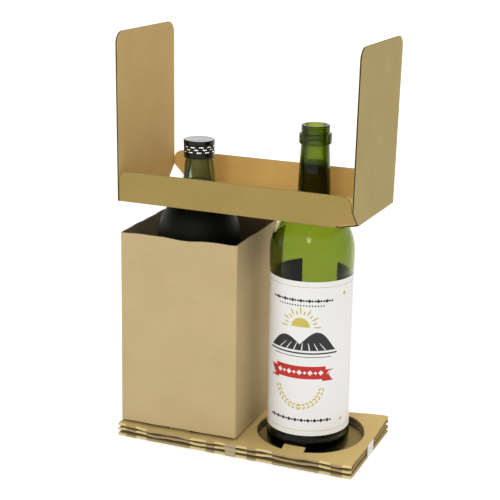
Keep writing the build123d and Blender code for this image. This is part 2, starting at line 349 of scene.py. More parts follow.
class Tree:
    """Short words for the nodes of one material, node group or world."""

    def __init__(self, tree: bpy.types.NodeTree) -> None:
        """Takes the tree that it adds to.

        Args:
            tree: node tree of a material, a group or a world.
        """
        self.tree = tree

    def join(self, value: object, socket: Socket) -> None:
        """Links an output to an input, or sets the input to a value.

        Args:
            value: an output, or a number, colour or vector.
            socket: the input.
        """
        if isinstance(value, Socket):
            self.tree.links.new(value, socket)
        else:
            socket.default_value = value

    def node(self, kind: str, inputs: dict | None = None, **settings: object) -> bpy.types.Node:
        """Adds a node.

        Args:
            kind: the node's class name without its ShaderNode prefix.
            inputs: value or output socket for each input, by its name or number.
            settings: the node's own settings.

        Returns:
            The node.
        """
        made = self.tree.nodes.new("ShaderNode" + kind)
        for key, value in settings.items():
            setattr(made, key, value)
        for key, value in (inputs or {}).items():
            self.join(value, made.inputs[key])
        return made

    def math(self, operation: str, first: object, second: object = 0.0, third: object = 0.0) -> Socket:
        """Adds a Math node and returns its output."""
        return self.node("Math", {0: first, 1: second, 2: third}, operation=operation).outputs[0]

    def times(self, first: object, second: object, more: object) -> Socket:
        """The product of two values, plus a third."""
        return self.math("MULTIPLY_ADD", first, second, more)

    def climb(self, value: object, low: float, high: float, start: float = 0.0, end: float = 1.0) -> Socket:
        """Adds a Map Range node, which goes from start at low to end at high, and returns its output."""
        return self.node("MapRange", {0: value, 1: low, 2: high, 3: start, 4: end}).outputs[0]

    def noise(self, where: object, scale: object, detail: float) -> Socket:
        """Adds a Noise Texture node and returns its value."""
        return self.node("TexNoise", {"Vector": where, "Scale": scale, "Detail": detail}).outputs[0]

    def blend(self, share: object, first: object, second: object) -> Socket:
        """Adds a colour Mix node and returns its output."""
        return self.node("Mix", {0: share, 6: first, 7: second}, data_type="RGBA").outputs[2]


class Group(Tree):
    """A shader node group that takes numbers or a vector and puts out numbers."""

    def __init__(self, name: str, inputs: dict[str, float | None], *outputs: str) -> None:
        """Starts the group.

        Args:
            name: its name.
            inputs: default value of each input, or None for a vector.
            outputs: names of its outputs.
        """
        super().__init__(bpy.data.node_groups.new(name, "ShaderNodeTree"))
        face = self.tree.interface
        for key, value in inputs.items():
            kind = "NodeSocketVector" if value is None else "NodeSocketFloat"
            socket = face.new_socket(name=key, in_out="INPUT", socket_type=kind)
            if value is not None:
                socket.default_value = value
        for key in outputs:
            face.new_socket(name=key, in_out="OUTPUT", socket_type="NodeSocketFloat")
        self.start = self.tree.nodes.new("NodeGroupInput").outputs
        self.end = self.tree.nodes.new("NodeGroupOutput").inputs

    def give(self, **results: Socket) -> bpy.types.NodeTree:
        """Links the results to the outputs of their names and returns the node tree.

        Args:
            results: output that gives each of the group's results.

        Returns:
            The node tree.
        """
        for key, value in results.items():
            self.join(value, self.end[key])
        return self.tree


class Effects:
    """Node groups that more than one finish uses."""

    def __init__(self) -> None:
        """Builds each group once."""
        self.fibre = self.make_fibre()
        self.flutes = self.make_flute_relief_and_shade()
        self.smudge = self.make_smudge()

    @staticmethod
    def make_fibre() -> bpy.types.NodeTree:
        """Paper pulp: broad clouds, fine fibres drawn out along the sheet and a few dark flecks.

        Returns:
            A group with the outputs Cloud, Fleck and Height.
        """
        group = Group("paper_fibre", {"Vector": None, "Stretch": 5.0}, "Cloud", "Fleck", "Height")
        where = group.start["Vector"]
        x, y, z = group.node("SeparateXYZ", {0: where}).outputs
        drawn_out = group.math("MULTIPLY", x, group.start["Stretch"])
        drawn = group.node("CombineXYZ", {0: drawn_out, 1: y, 2: z})
        grain = group.noise(drawn.outputs[0], 230.0, 5.0)
        fleck = group.climb(group.noise(where, 520.0, 2.0), 0.66, 0.76)
        broad = group.math("MULTIPLY", group.noise(where, 22.0, 4.0), 0.5)
        return group.give(Cloud=group.times(grain, 0.5, broad), Fleck=fleck, Height=grain)

    @staticmethod
    def make_flute_relief_and_shade() -> bpy.types.NodeTree:
        """Washboard of the flutes under a liner, for its relief and for painted shade stripes: the sine of
        the place across them.

        Returns:
            A group with the output Line, from 0 between flutes to 1 on a flute.
        """
        group = Group("flute_relief_and_shade", {"Vector": None, "Pitch": BOARD.pitch * MM}, "Line")
        across = group.node("SeparateXYZ", {0: group.start["Vector"]}).outputs[0]
        turns = group.math("DIVIDE", across, group.start["Pitch"])
        wave = group.math("SINE", group.math("MULTIPLY", turns, 2 * pi))
        return group.give(Line=group.times(wave, 0.5, 0.5))

    @staticmethod
    def make_smudge() -> bpy.types.NodeTree:
        """Handling marks: soft patches that break up a gloss.

        Returns:
            A group with the output Patch, from 0 to 1.
        """
        group = Group("smudge", {"Vector": None, "Scale": 30.0}, "Patch")
        noise = group.noise(group.start["Vector"], group.start["Scale"], 6.0)
        return group.give(Patch=group.climb(noise, 0.42, 0.72))


class Recipe(Tree):
    """A material with its Principled shader, ready for the nodes that feed it."""

    def __init__(self, name: str) -> None:
        """Makes the material.

        Args:
            name: its name.
        """
        self.material = bpy.data.materials.new(name)
        self.material.use_nodes = True
        super().__init__(self.material.node_tree)
        self.shader = self.tree.nodes["Principled BSDF"]

    def where(self, output: str = "Object") -> Socket:
        """Output of a Texture Coordinate node."""
        return self.node("TexCoord").outputs[output]

    def group(self, effect: bpy.types.NodeTree, inputs: dict) -> bpy.types.Node:
        """Places a node group and sets its inputs."""
        return self.node("Group", inputs, node_tree=effect)

    def marks(self, effects: Effects, scale: float) -> Socket:
        """Handling marks of a size."""
        return self.group(effects.smudge, {"Vector": self.where(), "Scale": scale}).outputs["Patch"]

    def feed(self, **sockets: object) -> None:
        """Sets or links inputs of the shader, their names written with _ for a space."""
        for key, value in sockets.items():
            self.join(value, self.shader.inputs[key.replace("_", " ")])

    def bump(self, height: Socket, distance: float, strength: float = 1.0) -> Socket:
        """Normal of a surface raised by a height."""
        made = self.node("Bump", {"Height": height, "Distance": distance, "Strength": strength})
        return made.outputs[0]


@dataclass(frozen=True)
class Coating:
    """Any finish: its name, and a material that its subclass mixes."""

    name: str

    def mix(self, recipe: Recipe, effects: Effects) -> None:
        """Feeds the recipe's shader from the shared effects."""
        raise NotImplementedError

    def make(self, effects: Effects) -> Material:
        """Makes the material.

        Args:
            effects: shared node groups.

        Returns:
            The material, its shader fed by mix.
        """
        recipe = Recipe(self.name)
        self.mix(recipe, effects)
        return recipe.material


@dataclass(frozen=True)
class Kraft(Coating):
    """Brown paper on board: its light and dark colour, and how strongly the flutes show as painted shade
    stripes.
    """

    light: Triple
    dark: Triple
    flute: float = 0.10
    roughness: float = 0.86
    clouds: tuple[float, float] = (0.3, 0.7)
    fleck: Triple = (96, 72, 42)
    fleck_share: float = 0.16
    relief: float = 0.00012

    def mix(self, recipe: Recipe, effects: Effects) -> None:
        """Mixes the two colours by the pulp's clouds and by painted shade stripes along the flutes, and
        adds dark flecks.

        Args:
            recipe: the material.
            effects: shared node groups.
        """
        fibre = recipe.group(effects.fibre, {"Vector": recipe.where("UV")}).outputs
        line = recipe.group(effects.flutes, {"Vector": recipe.where("UV")}).outputs["Line"]
        cloud = recipe.climb(fibre["Cloud"], *self.clouds)
        # Painted shade: the flute line lightens the colour on each flute and darkens it between flutes.
        share = recipe.math("MULTIPLY", recipe.times(line, self.flute, cloud), 1 / (1 + self.flute))
        base = recipe.blend(share, linear(self.dark), linear(self.light))
        flecked = recipe.math("MULTIPLY", fibre["Fleck"], self.fleck_share)
        rise = recipe.times(line, 0.35, fibre["Height"])
        recipe.feed(
            Base_Color=recipe.blend(flecked, base, linear(self.fleck)),
            Roughness=recipe.times(fibre["Cloud"], 0.08, self.roughness - 0.04),
            Specular_IOR_Level=0.28,
            Normal=recipe.bump(rise, self.relief, 0.7),
        )


@dataclass(frozen=True)
class Paper(Coating):
    """Smooth paper or a matt ink on it."""

    colour: Triple
    shade: Triple
    roughness: float
    grain: float = 0.00002

    def mix(self, recipe: Recipe, effects: Effects) -> None:
        """Mixes two near colours by the pulp's clouds.

        Args:
            recipe: the material.
            effects: shared node groups.
        """
        fibre = recipe.group(effects.fibre, {"Vector": recipe.where(), "Stretch": 1.0}).outputs
        recipe.feed(
            Base_Color=recipe.blend(fibre["Cloud"], linear(self.shade), linear(self.colour)),
            Roughness=self.roughness,
            Specular_IOR_Level=0.4,
            Normal=recipe.bump(fibre["Height"], self.grain),
        )


@dataclass(frozen=True)
class Foil(Coating):
    """Metallic ink or bare metal."""

    colour: Triple
    roughness: float
    metallic: float = 1.0
    marked: float = 0.12
    mark_shade: float = 0.7

    def mix(self, recipe: Recipe, effects: Effects) -> None:
        """Gives the metal a gloss that handling marks break up.

        Args:
            recipe: the material.
            effects: shared node groups.
        """
        marks = recipe.marks(effects, 90.0)
        tint = recipe.math("MULTIPLY", marks, self.marked)
        darker = [self.mark_shade * part for part in self.colour]
        recipe.feed(
            Base_Color=recipe.blend(tint, linear(self.colour), linear(darker)),
            Roughness=recipe.times(marks, self.marked, self.roughness),
            Metallic=self.metallic,
        )


@dataclass(frozen=True)
class Enamel(Coating):
    """Glossy paint on the cap's metal."""

    colour: Triple
    roughness: float
    coat: float
    dust: float = 16.0
    peel: float = 0.00001

    def mix(self, recipe: Recipe, effects: Effects) -> None:
        """Gives the paint a clear coat, a fine orange peel and dusty handling marks.

        Args:
            recipe: the material.
            effects: shared node groups.
        """
        marks = recipe.marks(effects, 120.0)
        tint = recipe.math("MULTIPLY", marks, 0.3)
        dusty = [part + self.dust for part in self.colour]
        recipe.feed(
            Base_Color=recipe.blend(tint, linear(self.colour), linear(dusty)),
            Roughness=recipe.times(marks, 0.10, self.roughness),
            Coat_Weight=self.coat,
            Coat_Roughness=0.08,
            Specular_IOR_Level=0.2,
            Normal=recipe.bump(recipe.noise(recipe.where(), 900.0, 1.0), self.peel),
        )


@dataclass(frozen=True)
class Clear(Coating):
    """Glass or wine: its tint at each height and what it soaks up inside.

    Heights are in millimetres for the tints and in metres for the spans. Painted shade darkens all its
    edges a little at grazing angles and the neck's walls strongly towards their edges, and the shoulder may
    have a haze.
    """

    tints: tuple[tuple[float, Triple], ...]
    through: Triple
    density: float
    ior: float
    gloss: float = 0.3
    # Painted shade along the edges: the facing where it starts, how far it climbs, its share on the neck,
    # and its colour.
    edge_shade_from: float = 0.16
    edge_shade_width: float = 0.22
    neck_edge_shade_share: float = 0.9
    edge: Triple = (0.05, 0.07, 0.045)
    grime: Triple = (0.2, 0.2, 0.18)
    haze: float = 0.0
    neck_span: tuple[float, float] = (0.226, 0.238)
    haze_starts: tuple[float, float] = (0.172, 0.182)
    haze_ends: tuple[float, float] = (0.228, 0.236)
    full_height: float = 310.0

    def mix(self, recipe: Recipe, effects: Effects) -> None:
        """Refracts at its faces, darkens along the way through, and has painted shade along its edges.

        Args:
            recipe: the material.
            effects: shared node groups.
        """
        height = recipe.node("SeparateXYZ", {0: recipe.where()}).outputs[2]
        ramp = recipe.node("ValToRGB", {0: recipe.math("DIVIDE", height, self.full_height * MM)})
        stops = ramp.color_ramp.elements
        stops.remove(stops[1])
        for place, (level, tint) in enumerate(self.tints):
            stop = stops.new(level / self.full_height) if place else stops[0]
            stop.position = level / self.full_height
            stop.color = (*tint, 1.0)
        marked = recipe.math("MULTIPLY", recipe.marks(effects, 24.0), 0.05)
        clean = recipe.blend(marked, ramp.outputs[0], (*self.grime, 1.0))
        # Painted shade: the colour darkens towards grazing edges everywhere and strongly at the neck's
        # edges, standing in for dark surroundings.
        facing = recipe.node("LayerWeight", {"Blend": 0.5}).outputs["Facing"]
        thin = recipe.math("MULTIPLY", recipe.math("POWER", facing, 2.0), 0.25)
        edge_shade_ramp = recipe.climb(facing, self.edge_shade_from, self.edge_shade_from + self.edge_shade_width)
        neck_edge_shade = recipe.math("MULTIPLY", edge_shade_ramp, recipe.climb(height, *self.neck_span))
        dark = recipe.math("MAXIMUM", thin, recipe.math("MULTIPLY", neck_edge_shade, self.neck_edge_shade_share))
        above = recipe.climb(height, *self.haze_starts, 0.0, self.haze)
        below = recipe.climb(height, *self.haze_ends, 1.0, 0.0)
        recipe.feed(
            Base_Color=recipe.blend(dark, clean, (*self.edge, 1.0)),
            Roughness=recipe.math("MULTIPLY", above, below),
            IOR=self.ior,
            Transmission_Weight=1.0,
            Specular_Tint=(self.gloss, self.gloss, self.gloss, 1.0),
        )
        soak = recipe.node("VolumeAbsorption", {"Color": (*self.through, 1.0), "Density": self.density})
        recipe.join(soak.outputs[0], recipe.tree.nodes["Material Output"].inputs["Volume"])


class Finish(Enum):
    """Every finish of the pack."""

    SLEEVE = Kraft("sleeve_kraft", (202, 180, 135), (188, 166, 120))
    # Inner face of the sleeve, darker and greyer as painted shade of its inside.
    SLEEVE_INSIDE_SHADE = Kraft("sleeve_inside_shade_kraft", (158, 146, 120), (126, 114, 94))
    TRAY = Kraft("tray_kraft", (170, 147, 84), (154, 131, 70))
    # Inner face of the tray, lighter as painted light that lifts the shade inside it.
    TRAY_INSIDE_LIT = Kraft("tray_inside_lit_kraft", (224, 192, 122), (206, 173, 104))
    FLAP = Kraft("flap_kraft", (180, 160, 106), (164, 144, 91))
    FLAP_INSIDE = Kraft("flap_inside_kraft", (196, 168, 112), (178, 150, 96))
    PAD = Kraft("pad_kraft", (206, 180, 118), (188, 160, 98))
    # Front folds: paler creased board, plus a painted highlight.
    CREASE_LIT = Kraft("creased_highlit_kraft", (232, 214, 156), (212, 192, 132), flute=0.0)
    # Medium and slot ends, lightened as painted light to lift the shade in the pad's slots.
    LIT_CORE = Kraft("lit_core_kraft", (204, 190, 154), (178, 162, 126), flute=0.0)
    # Near-black cut edges and flutes: cut board is a little darker, the rest is painted shade.
    CUT_EDGE_SHADE = Kraft("cut_edge_shade_kraft", (84, 72, 50), (60, 50, 34), flute=0.0)
    # Faces that meet in the gaps between the pad's folded layers: painted shade.
    PAINTED_GAP_SHADE = Kraft("painted_gap_shade_kraft", (160, 136, 86), (142, 120, 72))
    GUM_TAPE = Kraft("gummed_tape", (192, 178, 140), (174, 160, 122), flute=0.0, roughness=0.6)
    TAPE = Paper("white_tape", (232, 229, 222), (218, 214, 204), 0.6)
    LABEL = Paper("label_white", (240, 239, 237), (232, 231, 228), 0.42)
    INK = Paper("black_ink", (26, 24, 26), (36, 34, 36), 0.5)
    RED = Paper("red_ink", (196, 38, 32), (182, 32, 28), 0.5)
    GOLD = Foil("gold_ink", (196, 178, 82), 0.38, 0.4)
    GLASS = Clear(
        "green_bottle_glass",
        (
            (18.0, (0.16, 0.19, 0.13)),
            (32.0, (0.61, 0.64, 0.33)),
            (226.0, (0.61, 0.64, 0.33)),
            (234.0, (0.27, 0.30, 0.22)),
            (263.5, (0.27, 0.30, 0.22)),
            (265.5, (0.14, 0.16, 0.11)),
            (270.0, (0.14, 0.16, 0.11)),
            (271.2, (0.53, 0.58, 0.33)),
            (283.0, (0.53, 0.58, 0.33)),
            (287.0, (0.38, 0.41, 0.38)),
            (296.0, (0.40, 0.44, 0.34)),
            (299.0, (0.40, 0.45, 0.11)),
        ),
        (0.612, 0.701, 0.0),
        density=346.0,
        ior=1.5,
    )
    # The left bottle's glass: up to 228 mm, inside the sleeve, its tint is near black as painted shade; the
    # haze on the shoulder is roughness.
    SHADE_PAINTED_GLASS = Clear(
        "shade_painted_bottle_glass",
        (
            (18.0, (0.10, 0.12, 0.09)),
            (228.0, (0.16, 0.19, 0.14)),
            (240.0, (0.60, 0.72, 0.78)),
        ),
        (0.62, 0.74, 0.60),
        density=160.0,
        ior=1.4,
        edge_shade_from=0.3,
        haze=0.55,
    )
    WINE = Clear("pale_wine", ((0.0, (0.98, 0.98, 0.90)),), (0.9, 0.9, 0.6), density=8.0, ior=1.34)
    CAP = Enamel("black_enamel", (12, 12, 15), 0.2, 0.15)
    CAP_TOP = Foil("cap_top_metal", (178, 178, 178), 0.22)
    # Dashes of bright metal on the cap's ridges: painted highlight.
    CAP_GLINT = Foil("cap_glint_metal", (248, 248, 246), 0.22)


class Palette:
    """Makes each finish once, when a piece first asks for it."""

    def __init__(self) -> None:
        """Builds the shared effects."""
        self.effects = Effects()
        self.made: dict[Finish, Material] = {}

    def get(self, *finishes: Finish) -> list[Material]:
        """Materials of these finishes, in their order.

        Args:
            finishes: finishes, of which each is made once.

        Returns:
            Their materials.
        """
        for finish in finishes:
            if finish not in self.made:
                self.made[finish] = finish.value.make(self.effects)
        return [self.made[finish] for finish in finishes]


def middle_of(node: str) -> Triple:
    """Middle of a node's box in plan and its foot, in millimetres."""
    low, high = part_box(node)
    return ((low.x + high.x) / MM / 2, (low.y + high.y) / MM / 2, low.z / MM)


class PadFinish(IntEnum):
    """Number of each finish in the pad's mesh."""

    LINER = 0
    # The medium, lightened as painted light.
    LIT_CORE = 1
    TAPE = 2
    # Painted shade on the holes' cut edges, also on one face in a gap.
    CUT_SHADE = 3
    # Pale front folds, partly a painted highlight.
    CREASE_LIT = 4
    # Painted shade on faces in the gaps between layers.
    GAP_SHADE = 5


# Finishes of the lower face, the upper face and the medium of each layer, from the lowest up. Faces that
# meet in the gaps between folded pairs, the socket floor among them, carry painted shade; the medium is the
# lightened core.
LAYER_FACE_FINISHES = tuple(
    (low, high, PadFinish.LIT_CORE)
    for low, high in (
        (PadFinish.LINER, PadFinish.LINER),
        (PadFinish.LINER, PadFinish.GAP_SHADE),
        (PadFinish.CUT_SHADE, PadFinish.LINER),
        (PadFinish.LINER, PadFinish.GAP_SHADE),
        (PadFinish.GAP_SHADE, PadFinish.LINER),
        (PadFinish.LINER, PadFinish.LINER),
    )
)


@dataclass
class BasePad:
    """One sheet folded to and fro into six layers, with two bottle sockets and two tongues."""

    palette: Palette
    level: tuple[float, ...] = (0.0, 1.7, 4.8, 6.45, 9.2, 10.85)
    front_r: float = 1.75
    back_r: float = 2.3
    socket_from: int = 2
    socket_x: float = 56.5
    socket_y: float = 2.3
    socket_r: float = 50.3
    slots: tuple[tuple[float, float], ...] = ((-5, 5), (16, 25), (41, 86), (97, 107.5))
    slot_inset: float = 0.35
    slot_shift: float = 0.02
    tab_w: float = 20.6
    tab_lift: float = 14.0
    tab_gap: float = 0.3
    side_insets: tuple[float, ...] = (0.0, 0.7, 0.3, 0.9, 0.2, 0.0)
    crush: float = 0.3
    crush_reach: float = 9.0
    front_waves: tuple[float, ...] = (0.0, 0.75, 0.6)
    slow_wave: float = 46.0
    quick_wave: float = 21.0
    wave_reach: float = 26.0
    sag: tuple[float, ...] = (0.0, 0.6, 1.1)
    sag_width: float = 40.0
    sag_end: float = 12.0
    fan_from: tuple[float, float] = (62.0, 8.0)
    least: float = 0.02
    tape_z: tuple[float, float] = (0.1, 12.3)
    tape_x: tuple[float, float] = (-5.6, 4.8)
    tape_gaps: tuple[float, float] = (3.9, 8.6)
    tape_sink: float = 0.9
    tape_ply: float = 0.14
    crushed: float = 0.3
    whole_rows: tuple[float, ...] = (0.0, 0.04, 0.08, 0.23, 0.6, 1.0)
    front_rows: tuple[float, ...] = (0.0, 0.15, 0.45, 1.0)
    back_rows: tuple[float, ...] = (0.0, 0.33, 0.66, 1.0)
    fan: tuple[float, ...] = (0.0, 1.9, 1.1, 3.0, 2.2, 3.6)

    def __post_init__(self) -> None:
        """Works out the pad's half sizes and where all its slots are."""
        _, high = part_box("base_pad")
        self.half_w = high.x / MM
        self.half_d = high.y / MM
        self.layers = len(self.level)
        self.front = -self.half_d + self.front_r
        mirrored = [(-high, -low) for low, high in self.slots if low > 0]
        self.all_slots = sorted(mirrored + list(self.slots))
        self.piece = Piece("folded_base_pad")

    def lift(self, x: Array, y: Array, layer: int) -> Array:
        """How far the board has sprung up.

        Two waves near the front folds, less the sag under the sleeve's front, and a fan at
        the back right corner.

        Args:
            x: places across the pad.
            y: places along its depth.
            layer: number of the layer, from the lowest up.

        Returns:
            The rise of each place.
        """
        band = layer // 2
        slow = np.sin(2 * pi * x / self.slow_wave + 1.9 + 0.8 * band)
        quick = np.sin(2 * pi * x / self.quick_wave + 2.6 * band)
        near_front = 1 - ease(y, -self.half_d, -self.half_d + self.wave_reach)
        spread = ease(x, self.fan_from[0], self.half_w) * ease(y, self.fan_from[1], self.half_d)
        under_sleeve = ease(x, -self.half_w, -self.half_w + self.sag_width)
        under_sleeve = under_sleeve * (1 - ease(x, -self.sag_end, self.sag_end))
        wave = self.front_waves[band] * (0.7 * slow + 0.3 * quick) - self.sag[band] * under_sleeve
        return wave * near_front + self.fan[layer] * spread

    def settle(self, x: Array, y: Array, z: Array, layer: int) -> Array:
        """Height of a point once the folds are creased.

        Each pair of layers is pressed towards its own middle near its front fold, and the
        lowest pair towards the ground, and then the board springs up.

        Args:
            x: places across the pad.
            y: places along its depth.
            z: heights in the flat stack.
            layer: number of the layer.

        Returns:
            The settled heights.
        """
        band = layer // 2
        middle = (self.level[2 * band] + self.level[2 * band + 1] + BOARD.thickness) / 2
        anchor = middle if band else 0.0
        near = 1 - ease(y, self.front, self.front + self.crush_reach)
        return anchor + (z - anchor) * (1 - self.crush * near) + self.lift(x, y, layer)

    def place(self, layer: int) -> Place:
        """Point of a layer for a place across the pad, one along its depth and a height in the board.

        Args:
            layer: number of the layer.

        Returns:
            The function that gives the points.
        """

        def point(x: Array, y: Array, depth: Array) -> Array:
            """Shortens the layer a little at the pad's right side, and settles its height."""
            cut = self.side_insets[layer] * ease(x, self.half_w - 4, self.half_w)
            return np.stack([x - cut, y, self.settle(x, y, self.level[layer] + depth, layer)], axis=-1)

        return point

    def hole(self, side: int) -> Outline:
        """Edge of the two holes towards the front (side -1) or the back (side 1): half a circle each.

        Args:
            side: -1 or 1.

        Returns:
            The function that gives the edge for a place across.
        """

        def edge(x: Array) -> Array:
            """Depth of the half circle at a place across; beyond the circle it is its middle's."""
            off = np.abs(np.abs(x) - self.socket_x)
            return self.socket_y + side * np.sqrt(np.maximum(self.socket_r**2 - off**2, 0))

        return edge

    def columns(self, with_holes: bool) -> Array:
        """Places across the pad: even ones, the slots' ends, and a cosine's steps over each hole.

        Args:
            with_holes: whether the layer has the two holes.

        Returns:
            The places, from left to right.
        """
        rim = self.socket_r * np.cos(np.linspace(0, pi, 41)) if with_holes else np.zeros(1)
        even = np.linspace(-self.half_w, self.half_w, 61)
        ends = np.array(self.all_slots).ravel()
        beside = (ends - self.slot_shift, ends + self.slot_shift)
        every = np.concatenate([even, self.socket_x + rim, rim - self.socket_x, *beside])
        return np.unique(np.round(every, 3))

    def front_edge(self, x: Array) -> Array:
        """Front end of a layer: at its fold's axis, and further out in a slot.

        Args:
            x: places across the pad.

        Returns:
            The depth at which the layer ends.
        """
        edge = np.full_like(x, self.front)
        for low, high in self.all_slots:
            edge[(x > low) & (x < high)] = -self.half_d + self.slot_inset
        return edge

    def add_layers(self) -> None:
        """Adds the six layers, the upper four in a front and a back part round the holes."""
        for layer in range(self.layers):
            across = self.columns(layer >= self.socket_from)
            free_end = layer in (0, self.layers - 1)
            back = self.half_d if free_end else self.half_d - self.back_r
            if layer < self.socket_from:
                spans = [(self.front_edge, steady(back), self.whole_rows)]
            else:
                spans = [
                    (self.front_edge, self.hole(-1), self.front_rows),
                    (self.hole(1), steady(back), self.back_rows),
                ]
            place = self.place(layer)
            for low, high, rows in spans:
                BOARD.panel(self.piece, place, across, low, high, np.array(rows), LAYER_FACE_FINISHES[layer])

    def add_bend(self, layer: int, side: int, span: tuple[float, float]) -> None:
        """Adds the half ring that turns one layer into the next.

        Its height at each place follows the two layers, so a point is the middle between
        them plus the cosine of the turn in depth and its sine in height.

        Args:
            layer: the lower layer.
            side: -1 for a fold at the front and 1 for one at the back.
            span: where it starts and ends across the pad.
        """
        count = max(2, int((span[1] - span[0]) / 3) + 1)
        turns = np.linspace(-pi / 2, pi / 2, 13)
        angle, x = np.meshgrid(turns, np.linspace(*span, count), indexing="ij")
        middle = self.front if side < 0 else self.half_d - self.back_r
        reach = self.front_r if side < 0 else self.back_r
        y = np.full_like(x, middle)
        low = self.settle(x, y, self.level[layer] + 0 * x, layer)
        high = self.settle(x, y, self.level[layer + 1] + BOARD.thickness + 0 * x, layer + 1)
        board = BOARD.thickness * (1 - self.crush if side < 0 else 1)
        rings = []
        for inset in (1.0, 0.0):
            out = np.maximum(reach - inset * BOARD.thickness, self.least)
            rise = np.maximum((high - low) / 2 - inset * board, self.least)
            point = [x, y + side * out * np.cos(angle), (low + high) / 2 + rise * np.sin(angle)]
            rings.append(np.stack(point, axis=-1))
        # The front folds take the pale crease finish, partly a painted highlight.
        finish = PadFinish.CREASE_LIT if side < 0 else PadFinish.LINER
        self.piece.add_slab(rings[0], rings[1], finish, rings[0][..., :2])

    def add_bends(self) -> None:
        """Adds the front folds between their slots and the back folds along their whole length."""
        stops = [-self.half_w, *np.array(self.all_slots).ravel(), self.half_w]
        for layer in range(0, self.layers - 1, 2):
            for span in zip(stops[::2], stops[1::2]):
                self.add_bend(layer, -1, span)
        for layer in range(1, self.layers - 1, 2):
            self.add_bend(layer, 1, (-self.half_w, self.half_w))

    def add_crushed_ends(self) -> None:
        """Adds the crushed flutes behind the cut ends in each slot: a thin sheet for each two layers, in
        the lightened core finish, painted light that lifts the slot's shade.
        """
        for low, high in self.all_slots:
            across = np.linspace(low, high, max(2, int((high - low) / 3) + 1))
            y = np.full_like(across, -self.half_d + self.slot_inset + self.crushed)
            for layer in range(0, self.layers, 2):
                foot = self.settle(across, y, self.level[layer] + 0.15, layer)
                top = self.settle(across, y, self.level[layer + 1] + BOARD.thickness - 0.15, layer + 1)
                front = np.stack([np.stack([across, y, z], axis=-1) for z in (foot, top)])
                back = front + np.array([0, 0.2, 0])
                self.piece.add_slab(back, front, PadFinish.LIT_CORE, front[..., ::2])

    def add_tongue(self, side: int, bottle: str) -> None:
        """Adds the tongue that presses against a bottle.

        Args:
            side: -1 for the left socket and 1 for the right one.
            bottle: node of the bottle.
        """
        low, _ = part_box(bottle)
        tip = low.y / MM - self.tab_gap
        half = self.tab_w / 2
        root = self.socket_y - sqrt(self.socket_r**2 - half**2)
        flat = self.place(self.layers - 1)

        def place(x: Array, y: Array, depth: Array) -> Array:
            """Lifts the layer's points by their way from the tongue's root."""
            point = flat(x, y, depth)
            point[..., 2] += np.maximum(y - root, 0) * tan(radians(self.tab_lift))
            return point

        across = side * self.socket_x + np.linspace(-half, half, 15)
        BOARD.panel(self.piece, place, across, self.hole(-1), steady(tip), np.linspace(0, 1, 7))

    def add_front_tape(self) -> None:
        """Adds a strip of gummed tape over the front's middle, sunk a little between the layers.

        A bell curve of the height sinks it at each gap, and a slow sine makes its sides uneven.
        """
        z, x = np.meshgrid(np.linspace(*self.tape_z, 31), np.linspace(*self.tape_x, 7), indexing="ij")
        sink = sum(self.tape_sink * np.exp(-(((z - gap) / 0.8) ** 2)) for gap in self.tape_gaps)
        outer = np.stack([x + 0.12 * np.sin(2.1 * z), -self.half_d + sink, z], axis=-1)
        self.piece.add_slab(outer + np.array([0, self.tape_ply, 0]), outer, PadFinish.TAPE, outer[..., ::2])

    def mark_cut_edges(self) -> None:
        """Paints shade on the holes' cut edges with the dark cut-edge finish: the faces with all corners on
        a hole's circle.
        """
        points = np.concatenate(self.piece.points)
        across = np.abs(points[:, 0]) - self.socket_x
        on_circle = np.abs(np.hypot(across, points[:, 1] - self.socket_y) - self.socket_r) < 0.03
        on_edge = np.all(on_circle[np.array(self.piece.faces)], axis=1)
        finishes = np.concatenate(self.piece.finishes)
        self.piece.finishes = [np.where(on_edge, PadFinish.CUT_SHADE, finishes)]

    def build(self) -> bpy.types.Object:
        """Makes the pad.

        Returns:
            The object.
        """
        self.add_layers()
        self.mark_cut_edges()
        self.add_bends()
        self.add_crushed_ends()
        self.add_tongue(-1, "left_bottle")
        self.add_tongue(1, "right_bottle")
        self.add_front_tape()
        finishes = self.palette.get(
            Finish.PAD, Finish.LIT_CORE, Finish.GUM_TAPE, Finish.CUT_EDGE_SHADE, Finish.CREASE_LIT, Finish.PAINTED_GAP_SHADE
        )
        return self.piece.build("pack", "kraft_board", finishes, "base_pad")


@dataclass
class PadTape:
    """Strip of paper tape down the cut edges of the pad's right side."""

    palette: Palette
    thickness: float = 0.16
    sink: float = 0.12
    gaps: int = 3
    uneven: float = 0.15

    def build(self) -> bpy.types.Object:
        """Makes the strip, sunk a little into the gaps between the layers by a cosine of the height.

        Returns:
            The object.
        """
        low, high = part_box("pad_tape")
        y = np.linspace(low.y / MM, high.y / MM, 9)[None, :]
        z = np.linspace(low.z / MM + 0.1, high.z / MM, 49)[:, None]
        ripple = self.sink * (0.5 - 0.5 * np.cos(2 * pi * z / (high.z / MM) * self.gaps)) + 0 * y
        ragged = self.uneven * np.sin(1.3 * z) + 0 * y
        x = high.x / MM - self.thickness - ripple * 0.5
        inner = np.stack([x, y + ragged, z + 0 * y], axis=-1)
        outer = inner + np.array([self.thickness, 0, 0])
        piece = Piece("side_tape")
        piece.add_slab(inner, outer)
        return piece.build("pack", "paper_tape", self.palette.get(Finish.TAPE), "pad_tape")


